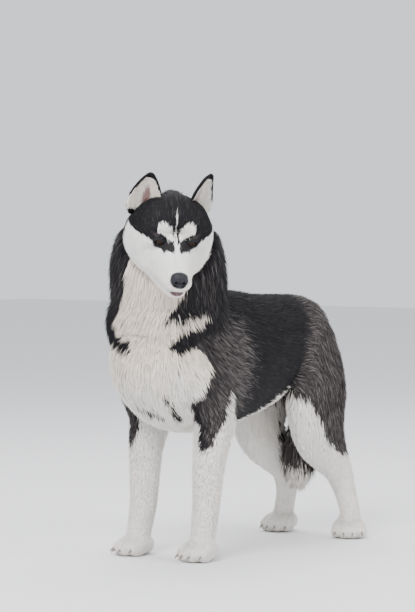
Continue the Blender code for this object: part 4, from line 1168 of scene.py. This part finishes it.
def node_group(name, inputs, outputs):
    """An empty shader group with named sockets, its input node and its output node."""
    group = bpy.data.node_groups.new(name, "ShaderNodeTree")
    for label, kind, value in inputs:
        socket = group.interface.new_socket(name=label, in_out="INPUT", socket_type=kind)
        if value is not None:
            socket.default_value = value
    for label, kind in outputs:
        group.interface.new_socket(name=label, in_out="OUTPUT", socket_type=kind)
    return group, group.nodes.new("NodeGroupInput"), group.nodes.new("NodeGroupOutput")


def hair_variation_group():
    """Fine streaks of light and dark over a colour, from stretched noise on Object coordinates."""
    group, given, result = node_group(
        "hair_variation",
        [("Colour", "NodeSocketColor", (1, 1, 1, 1)), ("Scale", "NodeSocketFloat", 220.0),
         ("Amount", "NodeSocketFloat", 0.2)],
        [("Colour", "NodeSocketColor"), ("Roughness", "NodeSocketFloat"), ("Height", "NodeSocketFloat")])
    place = group.nodes.new("ShaderNodeTexCoord")
    grain = group.nodes.new("ShaderNodeTexNoise")
    grain.inputs["Detail"].default_value = 3.0
    span = group.nodes.new("ShaderNodeMapRange")
    span.inputs["From Min"].default_value = 0.3
    span.inputs["From Max"].default_value = 0.7
    low = group.nodes.new("ShaderNodeMath")
    low.operation = "SUBTRACT"
    low.inputs[0].default_value = 1.0
    high = group.nodes.new("ShaderNodeMath")
    high.operation = "ADD"
    high.inputs[0].default_value = 1.0
    scale = group.nodes.new("ShaderNodeVectorMath")
    scale.operation = "SCALE"
    rough = group.nodes.new("ShaderNodeMapRange")
    rough.inputs["To Min"].default_value = 0.55
    rough.inputs["To Max"].default_value = 0.85
    link = group.links.new
    link(place.outputs["Object"], grain.inputs["Vector"])
    link(given.outputs["Scale"], grain.inputs["Scale"])
    link(given.outputs["Amount"], low.inputs[1])
    link(given.outputs["Amount"], high.inputs[1])
    link(grain.outputs["Fac"], span.inputs["Value"])
    link(low.outputs[0], span.inputs["To Min"])
    link(high.outputs[0], span.inputs["To Max"])
    link(given.outputs["Colour"], scale.inputs[0])
    link(span.outputs["Result"], scale.inputs["Scale"])
    link(scale.outputs[0], result.inputs["Colour"])
    link(grain.outputs["Fac"], rough.inputs["Value"])
    link(rough.outputs["Result"], result.inputs["Roughness"])
    link(grain.outputs["Fac"], result.inputs["Height"])
    return group


def finish_of(name, roughness=0.7):
    """A material with a Principled shader, its tree and its shader."""
    made = bpy.data.materials.new(name)
    made.use_nodes = True
    shader = made.node_tree.nodes["Principled BSDF"]
    shader.inputs["Roughness"].default_value = roughness
    return made, made.node_tree, shader


def coat_finish(name, variation, scale, amount, bump):
    """A finish that takes its colour from the markings, with hair variation and some bump."""
    made, tree, shader = finish_of(name)
    colour = tree.nodes.new("ShaderNodeVertexColor")
    colour.layer_name = "coat_colour"
    group = tree.nodes.new("ShaderNodeGroup")
    group.node_tree = variation
    group.inputs["Scale"].default_value = scale
    group.inputs["Amount"].default_value = amount
    tree.links.new(colour.outputs["Color"], group.inputs["Colour"])
    tree.links.new(group.outputs["Colour"], shader.inputs["Base Color"])
    tree.links.new(group.outputs["Roughness"], shader.inputs["Roughness"])
    if bump:
        relief = tree.nodes.new("ShaderNodeBump")
        relief.inputs["Strength"].default_value = bump
        relief.inputs["Distance"].default_value = 0.0006
        tree.links.new(group.outputs["Height"], relief.inputs["Height"])
        tree.links.new(relief.outputs["Normal"], shader.inputs["Normal"])
    shader.inputs["Specular IOR Level"].default_value = 0.18
    return made


def nose_finish():
    """Slate grey leather with fine pebbles."""
    made, tree, shader = finish_of("nose_leather_skin", 0.50)
    shader.inputs["Specular IOR Level"].default_value = 0.22
    place = tree.nodes.new("ShaderNodeTexCoord")
    pebbles = tree.nodes.new("ShaderNodeTexVoronoi")
    pebbles.inputs["Scale"].default_value = 900.0
    cloud = tree.nodes.new("ShaderNodeTexNoise")
    cloud.inputs["Scale"].default_value = 140.0
    shades = tree.nodes.new("ShaderNodeValToRGB")
    shades.color_ramp.elements[0].color = (0.009, 0.009, 0.012, 1)
    shades.color_ramp.elements[1].color = (0.024, 0.024, 0.031, 1)
    relief = tree.nodes.new("ShaderNodeBump")
    relief.inputs["Strength"].default_value = 0.5
    relief.inputs["Distance"].default_value = 0.0004
    link = tree.links.new
    link(place.outputs["Object"], pebbles.inputs["Vector"])
    link(place.outputs["Object"], cloud.inputs["Vector"])
    link(cloud.outputs["Fac"], shades.inputs["Fac"])
    link(shades.outputs["Color"], shader.inputs["Base Color"])
    link(pebbles.outputs["Distance"], relief.inputs["Height"])
    link(relief.outputs["Normal"], shader.inputs["Normal"])
    return made


def claw_finish():
    """Brown horn, lighter in its grain."""
    made, tree, shader = finish_of("claw_horn_grain", 0.35)
    place = tree.nodes.new("ShaderNodeTexCoord")
    grain = tree.nodes.new("ShaderNodeTexNoise")
    grain.inputs["Scale"].default_value = 400.0
    shades = tree.nodes.new("ShaderNodeValToRGB")
    shades.color_ramp.elements[0].color = (0.140, 0.112, 0.095, 1)
    shades.color_ramp.elements[1].color = (0.320, 0.270, 0.235, 1)
    tree.links.new(place.outputs["Object"], grain.inputs["Vector"])
    tree.links.new(grain.outputs["Fac"], shades.inputs["Fac"])
    tree.links.new(shades.outputs["Color"], shader.inputs["Base Color"])
    return made


def eye_finish():
    """A wet eye: its colours are stored on the ball, under a clear coat."""
    made, tree, shader = finish_of("eye_wet", 0.30)
    colour = tree.nodes.new("ShaderNodeVertexColor")
    colour.layer_name = "coat_colour"
    tree.links.new(colour.outputs["Color"], shader.inputs["Base Color"])
    shader.inputs["Specular IOR Level"].default_value = 0.05
    shader.inputs["Coat Weight"].default_value = 0.16
    shader.inputs["Coat Roughness"].default_value = 0.04
    return made


def build_eye(side):
    """An eyeball with its bulging cornea: radius + 0.9 mm * (1 - (a / 0.62)^2) at angle a from ahead."""
    v = np.concatenate([np.linspace(0.004, 0.8, 40), np.linspace(0.85, np.pi - 0.02, 24)])[:, None]
    u = np.linspace(0, 2 * np.pi, 64, endpoint=False)[None, :]
    radius = EYE_RADIUS - 0.0003 + 0.0009 * np.clip(1 - (v / 0.62)**2, 0, 1)
    x, y, z = radius * np.sin(v) * np.cos(u), radius * np.cos(v) + 0 * u, radius * np.sin(v) * np.sin(u)
    grid = np.stack([x, y, z], -1)
    name = "eyeball_right" if side > 0 else "eyeball_left"
    item = as_object(name, tube(grid))
    points = read_points(item.data)
    angle = np.arccos(np.clip(unit(points)[:, 1], -1, 1))
    turn = np.arctan2(points[:, 2], points[:, 0])
    spokes = 0.5 + 0.5 * np.sin(turn * 31 + 3 * np.sin(turn * 7))
    iris = mix(IRIS_DARK, IRIS_LIGHT, spokes * 0.6)
    shade = mix(PUPIL, iris, soft(angle, PUPIL_EDGE, 0.06))
    shade = mix(shade, IRIS_RING, soft(angle, IRIS_EDGE, 0.08))
    shade = mix(shade, EYE_CORNER, soft(angle, RING_EDGE, 0.08))
    paint(item.data, shade)
    item.data.transform(HEAD @ eye_matrix(side))
    item.data.shade_smooth()
    return item


def build_nose():
    """The nose leather with its two comma-shaped nostrils."""
    shapes = [egg(NOSE_AT + (0, -0.004, 0.005), (0.0175, 0.0135, 0.0105)),
              egg(NOSE_AT + (0, -0.002, -0.009), (0.0080, 0.0100, 0.0085))]
    for side in (-1, 1):
        shapes.append(egg(NOSE_AT + (side * 0.0095, -0.003, -0.001), (0.0090, 0.0120, 0.0098)))
    nose = melted("nose_leather", shapes, *NOSE_MELT)
    for side in (-1, 1):
        for at, size in (((0.0078, 0.0085, -0.0015), (0.0032, 0.0060, 0.0036)),
                         ((0.0120, 0.0060, -0.0040), (0.0036, 0.0050, 0.0014))):
            spot = NOSE_AT + (side * at[0], at[1], at[2])
            combine(nose, as_object("hole", egg(spot, size, (0, side * 25, 0))), "DIFFERENCE")
    groove = egg(NOSE_AT + (0, 0.0125, -0.010), (0.0006, 0.0030, 0.0090))
    combine(nose, as_object("groove", groove), "DIFFERENCE")
    nose.data.transform(HEAD)
    nose.data.shade_smooth()
    return nose


def build_claws():
    """All sixteen claws: curved cones that follow the rings of CLAW."""
    shapes = []
    rings = oval_rings(toe_rows(CLAW), (0, 0, 1), 14, 16)
    for kind in ("fore", "hind"):
        for side in ("left", "right"):
            paw = paw_matrix(kind, side)
            shapes += [tube(rings, toe_matrix(paw, toe)) for toe in range(len(TOES))]
    item = as_object("claws", *shapes)
    item.data.shade_smooth()
    return item


def place_on_frame():
    """From the dog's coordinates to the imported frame, by where the left eye sits in both."""
    low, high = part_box("eye_left")
    return (low + high) / 2 - HEAD @ Vector((-EYE_HALF, EYE_SET, 0))


def give(item, finish, slot, *nodes):
    """Move a piece onto the frame, finish it, and set it riding for the nodes it stands for."""
    item.data.transform(Matrix.Translation(SHIFT))
    item.data.materials.clear()
    item.data.materials.append(finish)
    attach(item, "root")
    if nodes:
        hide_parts(*nodes)
    return item


# The photograph's viewpoint in the dog's coordinates: where the camera stands and where it looks
CAMERA_AT = Vector((3.1175, -3.7153, 0.68))
CAMERA_WAY = Vector((-0.6327, 0.7738, -0.0307))
LENS = 135.0
SENSOR = 36.0
FLOOR_HALF = 14.0
FLOOR_COLOUR = (0.80, 0.80, 0.81, 1)
SURROUND_COLOUR = (0.86, 0.88, 0.92, 1)
SURROUND_STRENGTH = 1.25
# Lamps: name, place, diameter in metres, power in watts
LAMPS = (
    ("key", (1.2, -3.4, 3.4), 2.6, 260),
    ("fill", (3.6, 1.2, 2.0), 2.6, 80),
    ("top", (-1.0, 0.8, 3.8), 3.0, 120),
)
LAMP_AIM = (0, 0, 0.4)


def make_camera():
    """The camera at the photograph's angle and distance."""
    data = bpy.data.cameras.new("camera")
    data.lens = LENS
    data.sensor_width = SENSOR
    camera = bpy.data.objects.new("camera", data)
    camera.location = CAMERA_AT + SHIFT
    camera.rotation_mode = "QUATERNION"
    camera.rotation_quaternion = CAMERA_WAY.to_track_quat("-Z", "Y")
    bpy.context.scene.collection.objects.link(camera)
    bpy.context.scene.camera = camera


def make_floor():
    """A plain pale floor, wide enough for every view."""
    half = FLOOR_HALF
    corners = [(-half, -half, 0), (half, -half, 0), (half, half, 0), (-half, half, 0)]
    mesh = bpy.data.meshes.new("floor")
    mesh.from_pydata(corners, [], [(0, 1, 2, 3)])
    floor = bpy.data.objects.new("floor", mesh)
    bpy.context.scene.collection.objects.link(floor)
    made, _, shader = finish_of("floor_paper", 0.9)
    shader.inputs["Base Color"].default_value = FLOOR_COLOUR
    mesh.materials.append(made)


def make_light(name, at, aim, size, power):
    """A large soft lamp that looks at a point."""
    data = bpy.data.lights.new(name, "AREA")
    data.shape = "DISK"
    data.size = size
    data.energy = power
    lamp = bpy.data.objects.new(name, data)
    lamp.location = at
    lamp.rotation_mode = "QUATERNION"
    lamp.rotation_quaternion = (Vector(aim) - Vector(at)).to_track_quat("-Z", "Y")
    bpy.context.scene.collection.objects.link(lamp)


def make_studio():
    """Soft light from above and both sides, and a pale surround."""
    world = bpy.data.worlds.new("studio")
    world.use_nodes = True
    surround = world.node_tree.nodes["Background"]
    surround.inputs["Color"].default_value = SURROUND_COLOUR
    surround.inputs["Strength"].default_value = SURROUND_STRENGTH
    bpy.context.scene.world = world
    for name, at, size, power in LAMPS:
        make_light(name, at, LAMP_AIM, size, power)


SHIFT = place_on_frame()
FLESH = ["torso", "neck", "head", "tail", "ear_left", "ear_right"]
for limb in ("foreleg", "forepaw", "hindleg", "hindpaw"):
    FLESH += [f"{limb}_left", f"{limb}_right"]


def dress():
    """Build every piece of the dog and set it on the frame."""
    variation = hair_variation_group()
    short = coat_finish("skin_fur", variation, 500.0, 0.10, 0.6)
    long = coat_finish("coat_fur", variation, 160.0, 0.05, 0.0)
    skin, head = build_skin()
    points = read_points(skin.data)
    paint(skin.data, skin_colours(points, read_normals(skin.data), head_share(points, head)))
    coat = lay_coat(skin, head, np.random.default_rng(COAT_SEED))
    bpy.data.objects.remove(head, do_unlink=True)
    for name, chosen in coat_pieces(coat).items():
        item = bpy.data.objects.new(name, tuft_mesh(name, coat, chosen))
        bpy.context.scene.collection.objects.link(item)
        give(item, long, "black_coat" if name.startswith(("head", "ear")) else "white_coat")
    give(skin, short, "white_coat", *FLESH)
    give(build_nose(), nose_finish(), "nose_leather", "nose")
    wet = eye_finish()
    for side, name in ((1, "right"), (-1, "left")):
        give(build_eye(side), wet, "eye", f"eye_{name}")
    claws = [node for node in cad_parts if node.startswith("claw_")]
    give(build_claws(), claw_finish(), "claw_horn", *claws)


dress()
make_floor()
make_studio()
make_camera()
